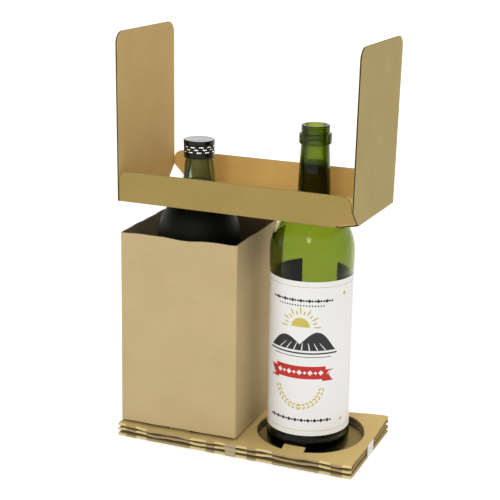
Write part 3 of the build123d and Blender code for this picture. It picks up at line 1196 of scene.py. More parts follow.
@dataclass
class Sleeve:
    """Square tube of board with upright flutes, its overlap glued inside the back wall."""

    palette: Palette
    width: float = 115.0
    depth: float = 104.0
    corner: float = 2.0
    turn: float = 1.2
    glue_flap: float = 28.0
    seam: float = 0.35
    dip: float = 1.5
    dip_at: float = 12.0
    dip_widths: tuple[float, float] = (17.0, 9.0)
    clear: float = 2.1
    spread: float = 1.7
    bulge: float = 0.5
    bulge_span: float = 52.0

    def __post_init__(self) -> None:
        """Takes its place from its solid and lays out the line of its corners."""
        low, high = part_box("divider_sleeve")
        self.origin = np.array(middle_of("divider_sleeve"))
        self.height = (high.z - low.z) / MM
        a = self.width / 2 - self.corner
        b = self.depth / 2 - self.corner
        bend = self.corner * pi / 2
        lengths = [0, 2 * a, bend, 2 * b, bend, 2 * a, bend, 2 * b, bend]
        self.stops = np.cumsum(lengths)
        self.centre_x = np.array([a, -a, -a, -a, -a, a, a, a, a])
        self.centre_y = np.array([b, b, b, -b, -b, -b, -b, b, b])
        self.facing = np.array([90, 90, 180, 180, 270, 270, 360, 360, 450])
        self.front_middle = (self.stops[4] + self.stops[5]) / 2
        self.piece = Piece("divider_sleeve_board")

    def turned_in_plan(self, x: Array, y: Array, z: Array) -> Array:
        """Turns a point about the sleeve's middle and sets it on the pad.

        The front left edge spreads at its foot, in shares of the height, width and depth.

        Args:
            x: places along the sleeve's width.
            y: places along its depth.
            z: heights above the pad.

        Returns:
            The three places of each point, as one array.
        """
        c, s = cos(radians(self.turn)), sin(radians(self.turn))
        z = z + 0 * x
        x = x - self.spread * (1 - z / self.height) * (0.5 - x / self.width) * (0.5 - y / self.depth)
        return np.stack([x * c - y * s, x * s + y * c, z], axis=-1) + self.origin

    def place(self, along: Array, height: Array, depth: Array) -> Array:
        """Point for a place round the walls, a height and a depth in the board.

        The line of the corners' centres and the wall's direction change linearly with the
        place, and the point stands off that line by the corner's radius.

        Args:
            along: places round the walls, from the back right corner.
            height: heights above the pad.
            depth: ways out from the inner face.

        Returns:
            The three places of each point, as one array.
        """
        angle = np.radians(np.interp(along, self.stops, self.facing))
        reach = self.corner - BOARD.thickness + depth
        bulge = self.bulge * np.sin(pi * height / self.height) * np.sin(pi * along / self.bulge_span) ** 2
        x = np.interp(along, self.stops, self.centre_x) + (reach - bulge) * np.cos(angle)
        y = np.interp(along, self.stops, self.centre_y) + (reach - bulge) * np.sin(angle)
        return self.turned_in_plan(x, y, height)

    def rim(self, along: Array) -> Array:
        """Height of the top edge: slow waves, and a dip in the front right of its middle.

        Args:
            along: places round the walls.

        Returns:
            The heights.
        """
        off = along - self.front_middle - self.dip_at
        dip = self.dip * np.exp(-((off / np.where(off < 0, *self.dip_widths)) ** 2))
        waves = 0.22 * np.sin(along / 9.0) + 0.16 * np.sin(along / 4.1 + 1)
        return self.height - 0.4 + waves - dip

    def foot(self, along: Array) -> Array:
        """Height of the lower edge: it rests on the pad at the back and stands clear of it in front.

        Args:
            along: places round the walls.

        Returns:
            The heights.
        """
        reach = np.interp(along, self.stops, self.centre_y)
        share = 0.5 - reach / (self.depth - 2 * self.corner)
        return self.clear * share + 0.1 * share * np.sin(along / 7.0)

    def add_walls(self) -> None:
        """Adds the four walls in one run round the tube."""
        steps = [np.linspace(self.seam, self.stops[-1] - self.seam, 150)]
        steps += [np.linspace(self.stops[k], self.stops[k + 1], 6) for k in (1, 3, 5, 7)]
        inside = np.concatenate(steps)
        across = np.unique(np.round(inside[inside <= self.stops[-1] - self.seam], 3))
        rows = np.linspace(0, 1, 9)
        # The inner liner takes the darker inside finish, painted shade.
        BOARD.panel(self.piece, self.place, across, self.foot, self.rim, rows, (1, 0, 2))

    def add_glue_flap(self) -> None:
        """Adds the overlap, one board inwards from the back wall."""
        right = self.width / 2 - BOARD.thickness
        y = self.depth / 2 - BOARD.thickness

        def place(off: Array, height: Array, depth: Array) -> Array:
            """Point at a distance from the right wall, on the inner side of the back wall."""
            return self.turned_in_plan(right - off, y - depth + 0 * off, height)

        across = np.linspace(0.2, self.glue_flap, 10)
        top = self.height - 1.2
        BOARD.panel(self.piece, place, across, steady(0.0), steady(top), np.linspace(0, 1, 3), (1, 1, 2))

    def build(self) -> bpy.types.Object:
        """Makes the sleeve.

        Returns:
            The object.
        """
        self.add_walls()
        self.add_glue_flap()
        finishes = self.palette.get(Finish.SLEEVE, Finish.SLEEVE_INSIDE_SHADE, Finish.LIT_CORE)
        return self.piece.build("pack", "kraft_board", finishes, "divider_sleeve")


def crease_middle(joint: str) -> Array:
    """Middle of the crease that a packed joint swings about, in millimetres."""
    found = next(row for row in frame["joints"] if row["name"] == joint)
    return np.array(found["pos_m"], float) / MM


@dataclass
class NeckTray:
    """Sheet with a floor, two low walls and two neck holes, between the two end flaps."""

    palette: Palette
    depth: float = 109.0
    wall: float = 28.0
    wall_corner: float = 8.5
    corner_cut: float = 14.0
    end_gap: float = 0.5
    crease_gap: float = 0.15
    bend: float = 1.7
    hole_r: float = 20.0
    mitre: float = 3.0
    lean: float = 0.35
    long_rows: tuple[float, ...] = (0.0, 0.004, 0.013, 0.1, 0.3, 0.5, 0.7, 0.9, 0.987, 0.996, 1.0)
    left_rows: tuple[float, ...] = (0.0, 0.02, 0.06, 1.0)
    middle_rows: tuple[float, ...] = (0.0, 1.0)
    right_rows: tuple[float, ...] = (0.0, 0.94, 0.98, 1.0)
    # Outer liner, inner liner in the lightened inside finish (painted light), and the medium in the dark
    # cut-edge finish (painted shade in its flutes).
    finishes: tuple[int, int, int] = (0, 2, 1)

    def __post_init__(self) -> None:
        """Takes the tray's place and turn from its two creases."""
        left, right = crease_middle("left_flap_crease"), crease_middle("right_flap_crease")
        self.origin = (left + right) / 2
        self.half_w = float(np.linalg.norm(right - left)) / 2
        self.x_dir = (right - left) / (2 * self.half_w)
        self.y_dir = np.array([-self.x_dir[1], self.x_dir[0], 0.0])
        self.flat = self.depth / 2 - self.bend
        self.fold = self.flat + self.bend * pi / 4
        self.top = self.flat + self.bend * pi / 2 + self.wall - self.bend
        self.floor_end = self.half_w - self.crease_gap
        self.wall_end = self.half_w - BOARD.thickness - self.end_gap
        self.holes = [self.local(middle_of(node)) for node in ("left_bottle", "right_bottle")]
        self.piece = Piece("neck_tray_board")

    def local(self, point: Triple) -> tuple[float, float]:
        """Place of a point along and across the tray."""
        off = np.array(point) - self.origin
        return float(off @ self.x_dir), float(off @ self.y_dir)

    def place(self, across: Array, along: Array, depth: Array) -> Array:
        """Point of the folded sheet.

        The floor is flat, a fold turns a quarter circle about its inner corner, and a wall
        rises above it. The floor's ends are mitred by the depth in the board.

        Args:
            across: ways over the sheet from its middle line.
            along: places along the tray.
            depth: ways up from the floor's lower face.

        Returns:
            The three places of each point, as one array.
        """
        off = np.abs(across)
        turn = np.clip((off - self.flat) / (self.bend * pi / 2), 0, 1) * pi / 2
        rise = np.maximum(off - self.flat - self.bend * pi / 2, 0)
        reach = self.bend - depth
        y = np.sign(across) * (np.minimum(off, self.flat) + reach * np.sin(turn))
        z = self.bend - reach * np.cos(turn) + rise
        near_end = ease(np.abs(along), self.floor_end - self.mitre, self.floor_end) * (off < self.fold)
        x = along - np.sign(along) * depth * near_end
        lean = self.lean * ease(rise, 0, self.wall) * np.sin(pi * (along / self.half_w + 1) / 2)
        y = y - np.sign(across) * lean
        flat = x[..., None] * self.x_dir + y[..., None] * self.y_dir
        return self.origin + flat + np.stack([0 * z, 0 * z, z], axis=-1)

    def right_end(self, across: Array) -> Array:
        """End of the sheet towards the right: round at the wall's top, cut across at the front fold.

        Args:
            across: ways over the sheet from its middle line.

        Returns:
            The place along the tray at which it ends.
        """
        off = np.abs(across)
        end = np.where(off < self.fold, self.floor_end, self.wall_end)
        depth = np.clip(self.top - off, 0, self.wall_corner)
        curve = np.sqrt(self.wall_corner**2 - (self.wall_corner - depth) ** 2)
        end = np.minimum(end, np.where(off > self.fold, self.wall_end - self.wall_corner + curve, end))
        base = np.where(off < self.fold, self.half_w, self.wall_end)
        cut = base - self.corner_cut + np.abs(off - self.fold)
        return np.where(across < 0, np.minimum(end, cut), end)

    def left_end(self, across: Array) -> Array:
        """End towards the left: the right one turned half round."""
        return -self.right_end(-across)

    def hole_edge(self, hole: int, side: int) -> Outline:
        """Edge of a neck hole towards the left (side -1) or the right (side 1): half a circle.

        Args:
            hole: number of the hole.
            side: -1 or 1.

        Returns:
            The function that gives the edge for a way over the sheet.
        """
        x, y = self.holes[hole]

        def edge(across: Array) -> Array:
            """Place along the tray of the half circle, for a place across it."""
            return x + side * np.sqrt(np.maximum(self.hole_r**2 - (across - y) ** 2, 0))

        return edge

    def columns(self, low: float, high: float) -> Array:
        """Places across the sheet between two limits: dense at folds, corners and holes.

        Args:
            low: the lower limit.
            high: the upper limit.

        Returns:
            The places, in order.
        """
        sides = [
            np.linspace(self.flat - 16, self.flat, 12),
            np.linspace(self.flat, self.flat + self.bend * pi / 2, 9),
            np.linspace(self.flat + self.bend * pi / 2, self.top - self.wall_corner, 12),
            self.top - self.wall_corner * (1 - np.cos(np.linspace(0, pi / 2, 12))),
            self.fold + np.array([-0.02, 0.02]),
        ]
        one = np.concatenate(sides)
        round_holes = [y + self.hole_r * np.cos(np.linspace(0, pi, 31)) for _, y in self.holes]
        every = np.concatenate([one, -one, np.linspace(-self.top, self.top, 41), *round_holes])
        inside = every[(every > low) & (every < high)]
        return np.unique(np.round(np.concatenate([inside, [low, high]]), 3))

    def build(self) -> bpy.types.Object:
        """Makes the tray: one run of board in front of the holes, three beside them and one behind.

        Returns:
            The object.
        """
        front = min(y for _, y in self.holes) - self.hole_r
        back = max(y for _, y in self.holes) + self.hole_r
        rows = np.array(self.long_rows)
        for low, high in ((-self.top, front), (back, self.top)):
            span = self.columns(low, high)
            BOARD.panel(self.piece, self.place, span, self.left_end, self.right_end, rows, self.finishes)
        beside = self.columns(front, back)
        edges = (
            (self.left_end, self.hole_edge(0, -1), self.left_rows),
            (self.hole_edge(0, 1), self.hole_edge(1, -1), self.middle_rows),
            (self.hole_edge(1, 1), self.right_end, self.right_rows),
        )
        for low, high, shares in edges:
            BOARD.panel(self.piece, self.place, beside, low, high, np.array(shares), self.finishes)
        finishes = self.palette.get(Finish.TRAY, Finish.CUT_EDGE_SHADE, Finish.TRAY_INSIDE_LIT)
        return self.piece.build("pack", "kraft_board", finishes, "neck_tray")


@dataclass
class EndFlap:
    """Tall flap that swings out about its crease."""

    tray: NeckTray
    side: int
    lean: float
    height: float = 152.0
    corner: float = 11.0
    bow: float = 0.5

    def __post_init__(self) -> None:
        """Takes its frame from the crease."""
        self.word = "right" if self.side > 0 else "left"
        self.crease = crease_middle(f"{self.word}_flap_crease")
        outward = self.side * self.tray.x_dir
        up = np.array([0.0, 0.0, 1.0])
        c, s = cos(radians(self.lean)), sin(radians(self.lean))
        self.outward = outward * c - up * s
        self.up = up * c + outward * s
        self.across = self.side * self.tray.y_dir

    def place(self, across: Array, height: Array, depth: Array) -> Array:
        """Point of the flap: outer face on the crease, foot mitred, middle bowed inwards.

        Args:
            across: places along the crease from its middle.
            height: ways up from the crease.
            depth: ways out from the inner face.

        Returns:
            The three places of each point, as one array.
        """
        foot = (BOARD.thickness - depth) * (1 - ease(height, 0, self.tray.mitre))
        half = self.tray.depth / 2
        bow = self.bow * np.sin(pi * height / self.height) * np.cos(pi * across / self.tray.depth)
        off = depth - BOARD.thickness - bow * (np.abs(across) < half + 1)
        return (
            self.crease
            + across[..., None] * self.across
            + (height + foot)[..., None] * self.up
            + off[..., None] * self.outward
        )

    def foot(self, across: Array) -> Array:
        """Lower edge: on the crease, and cut across at one corner."""
        return np.maximum(0, self.tray.corner_cut - (across + self.tray.depth / 2))

    def head(self, across: Array) -> Array:
        """Upper edge: straight, with a quarter circle at each corner."""
        near = np.clip(self.tray.depth / 2 - np.abs(across), 0, self.corner)
        return self.height - self.corner + np.sqrt(self.corner**2 - (self.corner - near) ** 2)

    def build(self) -> bpy.types.Object:
        """Makes the flap.

        Returns:
            The object.
        """
        half = self.tray.depth / 2
        round_end = half - self.corner * (1 - np.cos(np.linspace(0, pi / 2, 14)))
        every = np.concatenate([round_end, -round_end, np.linspace(-half, half, 31)])
        rows = np.concatenate([[0, 0.01, 0.02], np.linspace(0.1, 1, 10)])
        piece = Piece(f"{self.word}_flap_board")
        across = np.unique(np.round(every, 3))
        # Inner liner, outer liner, and the medium in the dark cut-edge finish, painted shade in its flutes.
        BOARD.panel(piece, self.place, across, self.foot, self.head, rows, (2, 0, 1))
        finishes = self.tray.palette.get(Finish.FLAP, Finish.CUT_EDGE_SHADE, Finish.FLAP_INSIDE)
        return piece.build(f"{self.word}_flap", "kraft_board", finishes, f"{self.word}_end_flap")


@dataclass
class Bottle:
    """Straight-shouldered wine bottle: one body, with the neck that a subclass gives."""

    palette: Palette
    glass: float = 3.0
    heel_r: float = 6.0
    foot_ring: float = 6.5
    punt_h: float = 14.0
    panel_depth: float = 0.7
    panel_bottom: float = 18.0
    panel_top: float = 169.0
    panel_slope: float = 4.0
    shoulder_z: float = 186.0
    shoulder_r: float = 46.0
    neck_curve_r: float = 25.0
    neck_r: float = 14.9
    neck_top_r: float = 12.7
    finish_z: float = 283.5
    edge: float = 1.0
    bore_r: float = 9.3
    waist_slope: tuple[tuple[float, float], ...] = ((0.0, 1.0), (0.12, 0.7), (0.88, 0.3), (1.0, 0.0))
    steps: int = 128
    side: str = "right"
    finish: Finish = Finish.GLASS

    def __post_init__(self) -> None:
        """Takes its axis and body from its solid and works out the shoulder."""
        low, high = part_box(self.node)
        self.axis = middle_of(self.node)
        self.body_r = (high.x - low.x) / MM / 2
        self.height = (high.z - low.z) / MM
        self.punt_r = self.body_r - self.heel_r - self.foot_ring
        reach = self.shoulder_r + self.neck_curve_r
        self.turn = np.degrees(acos(1 - (self.body_r - self.neck_r) / reach))
        self.neck_z = self.shoulder_z + reach * sin(radians(self.turn))

    @property
    def node(self) -> str:
        """Name of its solid."""
        return f"{self.side}_bottle"

    def waist(self, inset: float) -> Array:
        """Steps of the body in to the label's waist and out again, at shares of its depth and slope.

        Args:
            inset: how far it lies inside the glass's outer face.

        Returns:
            Radius and height of each point.
        """
        body = self.body_r - inset
        steps = []
        for level, side in ((self.panel_bottom, -1), (self.panel_top, 1)):
            for share, off in self.waist_slope[::-side]:
                steps.append((body - share * self.panel_depth, level + side * off * self.panel_slope))
        return np.array(steps)

    def belly(self, inset: float) -> Array:
        """Profile from the axis to the foot of the neck, moved inwards.

        Args:
            inset: how far it lies inside the glass's outer face.

        Returns:
            Radius and height of each point: the punt's ball, the foot ring, the heel's
            quarter circle, the waist for the label, and the two arcs of the shoulder.
        """
        ball = (self.punt_r**2 + self.punt_h**2) / (2 * self.punt_h)
        centre = self.punt_h - ball
        radius = ball + inset
        foot = sqrt(radius**2 - (inset - centre) ** 2)
        shoulder = (self.body_r - self.shoulder_r, self.shoulder_z)
        neck = (self.neck_r + self.neck_curve_r, self.neck_z)
        runs = [
            arc((0, centre), radius, 90, np.degrees(acos(foot / radius)), 12),
            arc((self.body_r - self.heel_r, self.heel_r), self.heel_r - inset, -90, 0, 9),
            self.waist(inset),
            arc(shoulder, self.shoulder_r - inset, 0, self.turn, 22),
            arc(neck, self.neck_curve_r + inset, 180 + self.turn, 180, 16),
        ]
        profile = np.concatenate(runs)
        profile[0, 0] = 0.0
        return profile

    def neck(self) -> Array:
        """Outer profile above the neck's foot, up to the mouth's inner rim."""
        raise NotImplementedError

    def mouth(self, reach: float, count: int) -> list[Array]:
        """The lip's two rounded edges, from its outer radius over to the bore.

        Args:
            reach: the lip's outer radius.
            count: points in each edge.

        Returns:
            Radius and height of each point, for the two edges.
        """
        top = self.height - self.edge
        outer = arc((reach - self.edge, top), self.edge, 0, 90, count)
        return [outer, arc((self.bore_r + self.edge, top), self.edge, 90, 180, count)]

    def bore(self) -> Array:
        """Inner profile down to the neck's foot: straight, and a little wider below the finish."""
        return np.array([(self.bore_r, self.finish_z), (self.bore_r + 0.1, self.finish_z - 2)])

    def build_glass(self) -> bpy.types.Object:
        """Makes the glass: the outer profile up, over the lip, and the inner one down.

        Returns:
            The object.
        """
        inner = self.belly(self.glass)[::-1]
        profile = np.concatenate([self.belly(0.0), self.neck(), self.bore(), inner])
        piece = Piece(f"{self.node}_glass")
        piece.add(*turned(profile, self.axis, self.steps))
        return piece.build("pack", "green_glass", self.palette.get(self.finish), self.node)


@dataclass
class RightBottle(Bottle):
    """Empty bottle with a string ring and an open mouth."""

    ring_r: float = 14.6
    ring_h: float = 9.0
    lip_r: float = 12.7

    def neck(self) -> Array:
        """Taper, string ring with rounded edges, and lip.

        Returns:
            Radius and height of each point.
        """
        low, high = self.finish_z, self.finish_z + self.ring_h
        runs = [
            np.array([(self.neck_top_r, low)]),
            arc((self.ring_r - self.edge, low + self.edge), self.edge, -70, 0, 6),
            arc((self.ring_r - self.edge, high - self.edge), self.edge, 0, 70, 6),
            np.array([(self.lip_r, high + 0.2)]),
        ]
        return np.concatenate(runs + self.mouth(self.lip_r, 7))


@dataclass
class LeftBottle(Bottle):
    """Bottle with a shorter neck, whose threaded finish is under a cap, full of wine."""

    side: str = "left"
    finish: Finish = Finish.SHADE_PAINTED_GLASS
    finish_z: float = 257.5
    finish_r: float = 12.5
    neck_top_r: float = 12.9
    edge: float = 0.7
    overlap: float = 0.05

    def neck(self) -> Array:
        """Taper, a small step, and the finish."""
        step = np.array([(self.neck_top_r, self.finish_z), (self.finish_r, self.finish_z + 0.3)])
        return np.concatenate([step, *self.mouth(self.finish_r, 5)])

    def build_wine(self) -> bpy.types.Object:
        """Makes the wine, which lies a touch inside the glass so that no air shows between them.

        Returns:
            The object.
        """
        _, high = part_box("left_bottle_wine")
        level = high.z / MM - self.axis[2]
        inner = self.belly(self.glass - self.overlap)
        reach = self.neck_r - self.glass
        surface = np.array([(reach, level - 0.4), (reach - 0.8, level), (0, level)])
        piece = Piece("left_bottle_wine_fill")
        piece.add(*turned(np.concatenate([inner, surface]), self.axis, self.steps))
        return piece.build("pack", "white_wine", self.palette.get(Finish.WINE), "left_bottle_wine")


class Ink(IntEnum):
    """Number of each finish in the label's mesh."""

    PAPER = 0
    BLACK = 1
    RED = 2
    GOLD = 3


@dataclass
class Label:
    """Paper label wrapped round the right bottle, with its printed motifs as thin films of ink."""

    palette: Palette
    bottle: Bottle
    wrap: float = 304.0
    facing: float = -84.0
    paper: float = 0.2
    film: float = 0.05
    margin: float = 5.0
    frame_half: float = 55.0
    corner_x: float = 42.5
    corner_y: float = 13.0
    sun_y: float = 104.0
    hill_y: float = 82.0
    ribbon_y: float = 61.0
    laurel_y: float = 49.0
    laurel_r: float = 21.0
    rows: tuple[tuple[int, float, float, tuple[float, ...]], ...] = (
        (11, 2.6, 128.5, (1.9, 1.25, 1.25)),
        (8, 2.6, 124.0, (0.9,)),
        (10, 3.0, 15.0, (1.2, 2.0)),
    )

    def __post_init__(self) -> None:
        """Takes its place from its solid."""
        low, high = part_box("right_bottle_label")
        self.foot = low.z / MM
        self.height = (high.z - low.z) / MM
        self.radius = self.bottle.body_r - self.bottle.panel_depth + 0.02
        self.outer = self.radius + self.paper
        self.piece = Piece("wrapped_label")

    def on_label(self, across: Array, height: Array, off: float) -> Array:
        """Point for a place round the label, a height on it and a distance off its outer face.

        The angle is the facing plus the place divided by the radius.

        Args:
            across: places round the label from its middle.
            height: heights above its foot.
            off: distance outwards.

        Returns:
            The three places of each point, as one array.
        """
        angle = radians(self.facing) + across / self.outer
        reach = self.outer + off
        x = self.bottle.axis[0] + reach * np.cos(angle)
        y = self.bottle.axis[1] + reach * np.sin(angle)
        return np.stack([x, y, self.foot + height + 0 * across], axis=-1)

    def print_grid(self, across: Array, height: Array, ink: int, layer: int = 1) -> None:
        """Prints the shape that a grid of places covers.

        Args:
            across: place round the label of each grid point.
            height: height of each grid point.
            ink: number of the ink.
            layer: 1 on the paper, 2 on another ink.
        """
        low = self.on_label(across, height, -0.02)
        high = self.on_label(across, height, self.film * layer)
        self.piece.add_slab(low, high, ink)

    def bar(self, left: float, right: float, low: float, high: float, ink: int, layer: int = 1) -> None:
        """Prints a level bar.

        Args:
            left: its left end.
            right: its right end.
            low: its lower edge.
            high: its upper edge.
            ink: number of the ink.
            layer: 1 on the paper, 2 on another ink.
        """
        count = max(2, int((right - left) / 2) + 1)
        across, height = np.meshgrid(np.linspace(left, right, count), np.array([low, high]))
        self.print_grid(across, height, ink, layer)

    def leaf(self, x: float, y: float, size: tuple[float, float], angle: float, layer: int = 1) -> None:
        """Prints a pointed gold leaf: its half width is a sine of the way along it.

        Args:
            x: place of its middle round the label.
            y: height of its middle.
            size: its length and width.
            angle: its direction, in degrees.
            layer: 1 on the paper, 2 on another ink.
        """
        share, side = np.meshgrid(np.linspace(0.02, 0.98, 9), np.array([-1.0, 0.0, 1.0]))
        along = (share - 0.5) * size[0]
        off = side * size[1] / 2 * np.sin(pi * share)
        c, s = cos(radians(angle)), sin(radians(angle))
        self.print_grid(x + along * c - off * s, y + along * s + off * c, Ink.GOLD, layer)

    def diamond(self, x: float, y: float, size: float, ink: int, layer: int = 1) -> None:
        """Prints a small diamond: a square grid stood on its corner."""
        u, v = np.meshgrid(np.array([-0.5, 0.5]), np.array([-0.5, 0.5]))
        self.print_grid(x + (u - v) * size, y + (u + v) * size, ink, layer)

    def add_paper(self) -> None:
        """Adds the paper itself."""
        half = radians(self.wrap) * self.outer / 2
        across, height = np.meshgrid(np.linspace(-half, half, 180), np.linspace(0, self.height, 5))
        low = self.on_label(across, height, -self.paper)
        self.piece.add_slab(low, self.on_label(across, height, 0.0), Ink.PAPER)

    def add_frame(self) -> None:
        """Adds thin gold lines near the edges and a gold diamond in each corner."""
        half = radians(self.wrap) * self.outer / 2 - 2
        for height in (self.margin, self.height - self.margin):
            self.bar(-half, half, height - 0.2, height + 0.2, Ink.GOLD)
        upright = np.linspace(self.margin, self.height - self.margin, 3)
        for x in (-self.frame_half, self.frame_half):
            across, height = np.meshgrid(np.array([x - 0.15, x + 0.15]), upright)
            self.print_grid(across, height, Ink.GOLD)
        for x in (-self.corner_x, self.corner_x):
            for y in (self.corner_y, self.height - self.corner_y):
                for angle in (0, 90):
                    self.leaf(x, y, (4.6, 2.2), angle, 1 + angle // 90)

    def add_sun(self) -> None:
        """Adds a gold half sun with rays: a half disc, and leaves round it."""
        radius, angle = np.meshgrid(np.linspace(0.3, 8.5, 9), np.radians(np.linspace(0, 180, 33)))
        self.print_grid(radius * np.cos(angle), self.sun_y + radius * np.sin(angle), Ink.GOLD)
        for k, degrees in enumerate(np.linspace(0, 180, 13)):
            far = 15.5 if k % 2 == 0 else 13.5
            x, y = far * cos(radians(degrees)), self.sun_y + far * sin(radians(degrees))
            self.leaf(x, y, (8.0 if k % 2 == 0 else 5.0, 1.5), degrees)

    def hill(self, left: float, right: float, rise: float, skew: float) -> None:
        """Prints a dark hill: its top is a skewed half wave above its base.

        Args:
            left: its left end.
            right: its right end.
            rise: height of its top.
            skew: above 1 the top is nearer the right end.
        """
        share = np.linspace(0, 1, 33)
        top = self.hill_y + 0.4 + rise * np.sin(pi * share**skew) ** 1.2
        across = np.stack([left + (right - left) * share] * 2)
        self.print_grid(across, np.stack([np.full_like(share, self.hill_y), top]), Ink.BLACK)

    def add_hills(self) -> None:
        """Adds dark hills with pale rows of vines."""
        self.hill(-31, 6, 13, 0.9)
        self.hill(-8, 33, 17, 1.25)
        for k in range(7):
            share, side = np.meshgrid(np.linspace(0, 1, 9), np.array([-0.5, 0.5]))
            foot = -20 + 7.2 * k
            lean = (foot - 4) * 0.28
            width = 1.25 - 0.75 * share
            self.print_grid(foot - lean * share + side * width, 82.6 + 6.5 * share, Ink.PAPER, 2)
        self.bar(-33, 35, 78.6, 80.0, Ink.BLACK)
        self.bar(-27, 29, 75.6, 76.2, Ink.BLACK)

    def add_ribbon(self) -> None:
        """Adds a level red ribbon with forked ends and a row of white diamonds."""
        self.bar(-24, 24, self.ribbon_y - 6, self.ribbon_y + 6, Ink.RED, 2)
        for side in (-1, 1):
            share, height = np.meshgrid(np.linspace(0, 1, 5), np.linspace(-1, 1, 3))
            fork = 11 - 4.5 * (1 - np.abs(height))
            self.print_grid(side * (21 + share * fork), self.ribbon_y - 2.5 + 5.4 * height, Ink.RED)
        for k in range(-4, 5):
            self.diamond(4.9 * k, self.ribbon_y, 2.5 if k % 2 == 0 else 1.6, Ink.PAPER, 3)

    def add_laurel(self) -> None:
        """Adds two gold branches that meet below the ribbon, each a curve of paired leaves."""
        for side in (-1, 1):
            for k in range(8):
                angle = radians(-88 + 11 * k)
                x, y = side * self.laurel_r * cos(angle), self.laurel_y + self.laurel_r * sin(angle)
                lie = np.degrees(angle) + 90
                for tilt, off in ((32, 1.6), (-32, -1.6)):
                    direction = lie + tilt if side > 0 else 180 - lie - tilt
                    reach = side * off * cos(angle)
                    self.leaf(x + reach, y + off * sin(angle), (4.2, 1.7), direction, 1 + (tilt > 0))

    def add_rows(self) -> None:
        """Adds rows of small dark diamonds: half their number, their pitch, height and sizes in turn."""
        for half, pitch, height, sizes in self.rows:
            for k in range(-half, half + 1):
                self.diamond(pitch * k, height, sizes[k % len(sizes)], Ink.BLACK)

    def build(self) -> bpy.types.Object:
        """Makes the label.

        Returns:
            The object.
        """
        self.add_paper()
        self.add_frame()
        self.add_sun()
        self.add_hills()
        self.add_ribbon()
        self.add_laurel()
        self.add_rows()
        inks = self.palette.get(Finish.LABEL, Finish.INK, Finish.RED, Finish.GOLD)
        return self.piece.build("pack", "label_paper", inks, "right_bottle_label")


@dataclass
class ScrewCap:
    """Metal screw cap with knurled side, and the tamper ring below it."""

    palette: Palette
    knurls: int = 40
    depth: float = 0.42
    edge: float = 0.9
    groove: float = 0.45
    first_ridge: float = 1.4
    ridge_pitch: float = 2.4
    ridges: int = 3
    sunk: float = 0.18
    wall: float = 1.6
    plate: float = 1.0
    lip: float = 0.3
    recess: tuple[float, float] = (2.2, 2.6)
    side_foot: float = 0.2
    knurled: tuple[float, float, float, float] = (1.3, 1.9, 7.9, 8.6)
    top_band: float = 0.25
    # Painted highlight: dashes of bright metal round each ridge, and the share of its upper slope they
    # cover.
    dash_count: int = 11
    dash_shift: float = 2.3
    glint_rise: tuple[float, float] = (0.02, 0.42)
    ring_wall: float = 1.3
    ring_edge: float = 0.25
    bead_r: float = 0.65
    bead_z: float = 0.9
    steps: int = 320

    def __post_init__(self) -> None:
        """Takes sizes from the two solids."""
        low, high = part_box("left_bottle_cap")
        self.axis = middle_of("left_bottle_cap")
        self.radius = (high.x - low.x) / MM / 2
        self.height = (high.z - low.z) / MM
        self.ring_axis = middle_of("left_bottle_ring")
        low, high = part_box("left_bottle_ring")
        self.ring_r = (high.x - low.x) / MM / 2
        self.ring_h = (high.z - low.z) / MM

    def side_profile(self) -> Array:
        """Outer side from its foot up: a plain foot, three ridges between grooves, and a plain band.

        Returns:
            Radius and height of each point.
        """
        height = np.linspace(self.side_foot, self.height - self.edge, 97)
        row = (height - self.first_ridge) / self.ridge_pitch
        dent = self.groove * (0.5 - 0.5 * np.cos(2 * pi * row)) * ((row > 0) & (row < self.ridges))
        return np.stack([self.radius - 0.1 - dent * 0.8, height], axis=1)

    def build_cap(self) -> bpy.types.Object:
        """Makes the cap: each ridge carries knurls, a cosine round the axis, and dashes of bright metal, a
        painted highlight.

        Returns:
            The object.
        """
        side = self.side_profile()
        rim = arc((self.radius - self.edge, self.height - self.edge), self.edge, 0, 90, 8)
        low = self.height - self.sunk
        outer, inner = (self.radius - inset for inset in self.recess)
        recess = np.array([(outer, self.height), (inner, low), (0, low)])
        top_z = self.height - self.plate
        inside = self.radius - self.wall
        bore = np.array([(0, top_z), (inside, top_z), (inside, 0.0), (self.radius - self.lip, 0.0)])
        profile = np.concatenate([bore, side, rim, recess])
        angle = 2 * pi * np.arange(self.steps) / self.steps
        level = profile[:, 1]
        window = ease(level, *self.knurled[:2]) * (1 - ease(level, *self.knurled[2:]))
        window = window * (profile[:, 0] > inside + 0.5)
        ribs = self.depth * window[:, None] * (0.5 - 0.5 * np.cos(self.knurls * angle))[None, :]
        points, faces = turned(profile, self.axis, self.steps, ribs)
        piece = Piece("screw_cap")
        piece.add(points, faces)
        x, y, height = (points - np.array(self.axis)).T
        shiny = height > self.height - self.top_band
        place = (height - self.first_ridge) / self.ridge_pitch
        row = np.floor(place)
        rise = place - row
        # Painted highlight: dashes of bright metal on the upper slopes of the ridges stand in for glints.
        dashes = np.cos(self.dash_count * np.arctan2(y, x) + self.dash_shift * row) > -0.15
        least, most = self.glint_rise
        glint_band = (np.hypot(x, y) > self.radius - 1.0) & (rise > least) & (rise < most)
        painted_glint = glint_band & (row >= 0) & (row < self.ridges) & dashes
        piece.finishes = [np.all(shiny[part], axis=1) + 2 * np.all(painted_glint[part], axis=1) for part in faces]
        finishes = self.palette.get(Finish.CAP, Finish.CAP_TOP, Finish.CAP_GLINT)
        return piece.build("pack", "black_cap", finishes, "left_bottle_cap")

    def build_ring(self) -> bpy.types.Object:
        """Makes the ring, with a bead round its lower edge.

        Returns:
            The object.
        """
        inside = self.ring_r - self.ring_wall
        outer = self.ring_r - self.ring_edge
        bead = arc((outer - 0.4, self.bead_z), self.bead_r, -70, 70, 9)
        top = [(outer - 0.3, self.ring_h), (inside, self.ring_h)]
        profile = np.concatenate([[(inside, 0.0)], bead, top])
        piece = Piece("tamper_ring")
        piece.add(*turned(profile, self.ring_axis, 96))
        return piece.build("pack", "black_cap", self.palette.get(Finish.CAP), "left_bottle_ring")


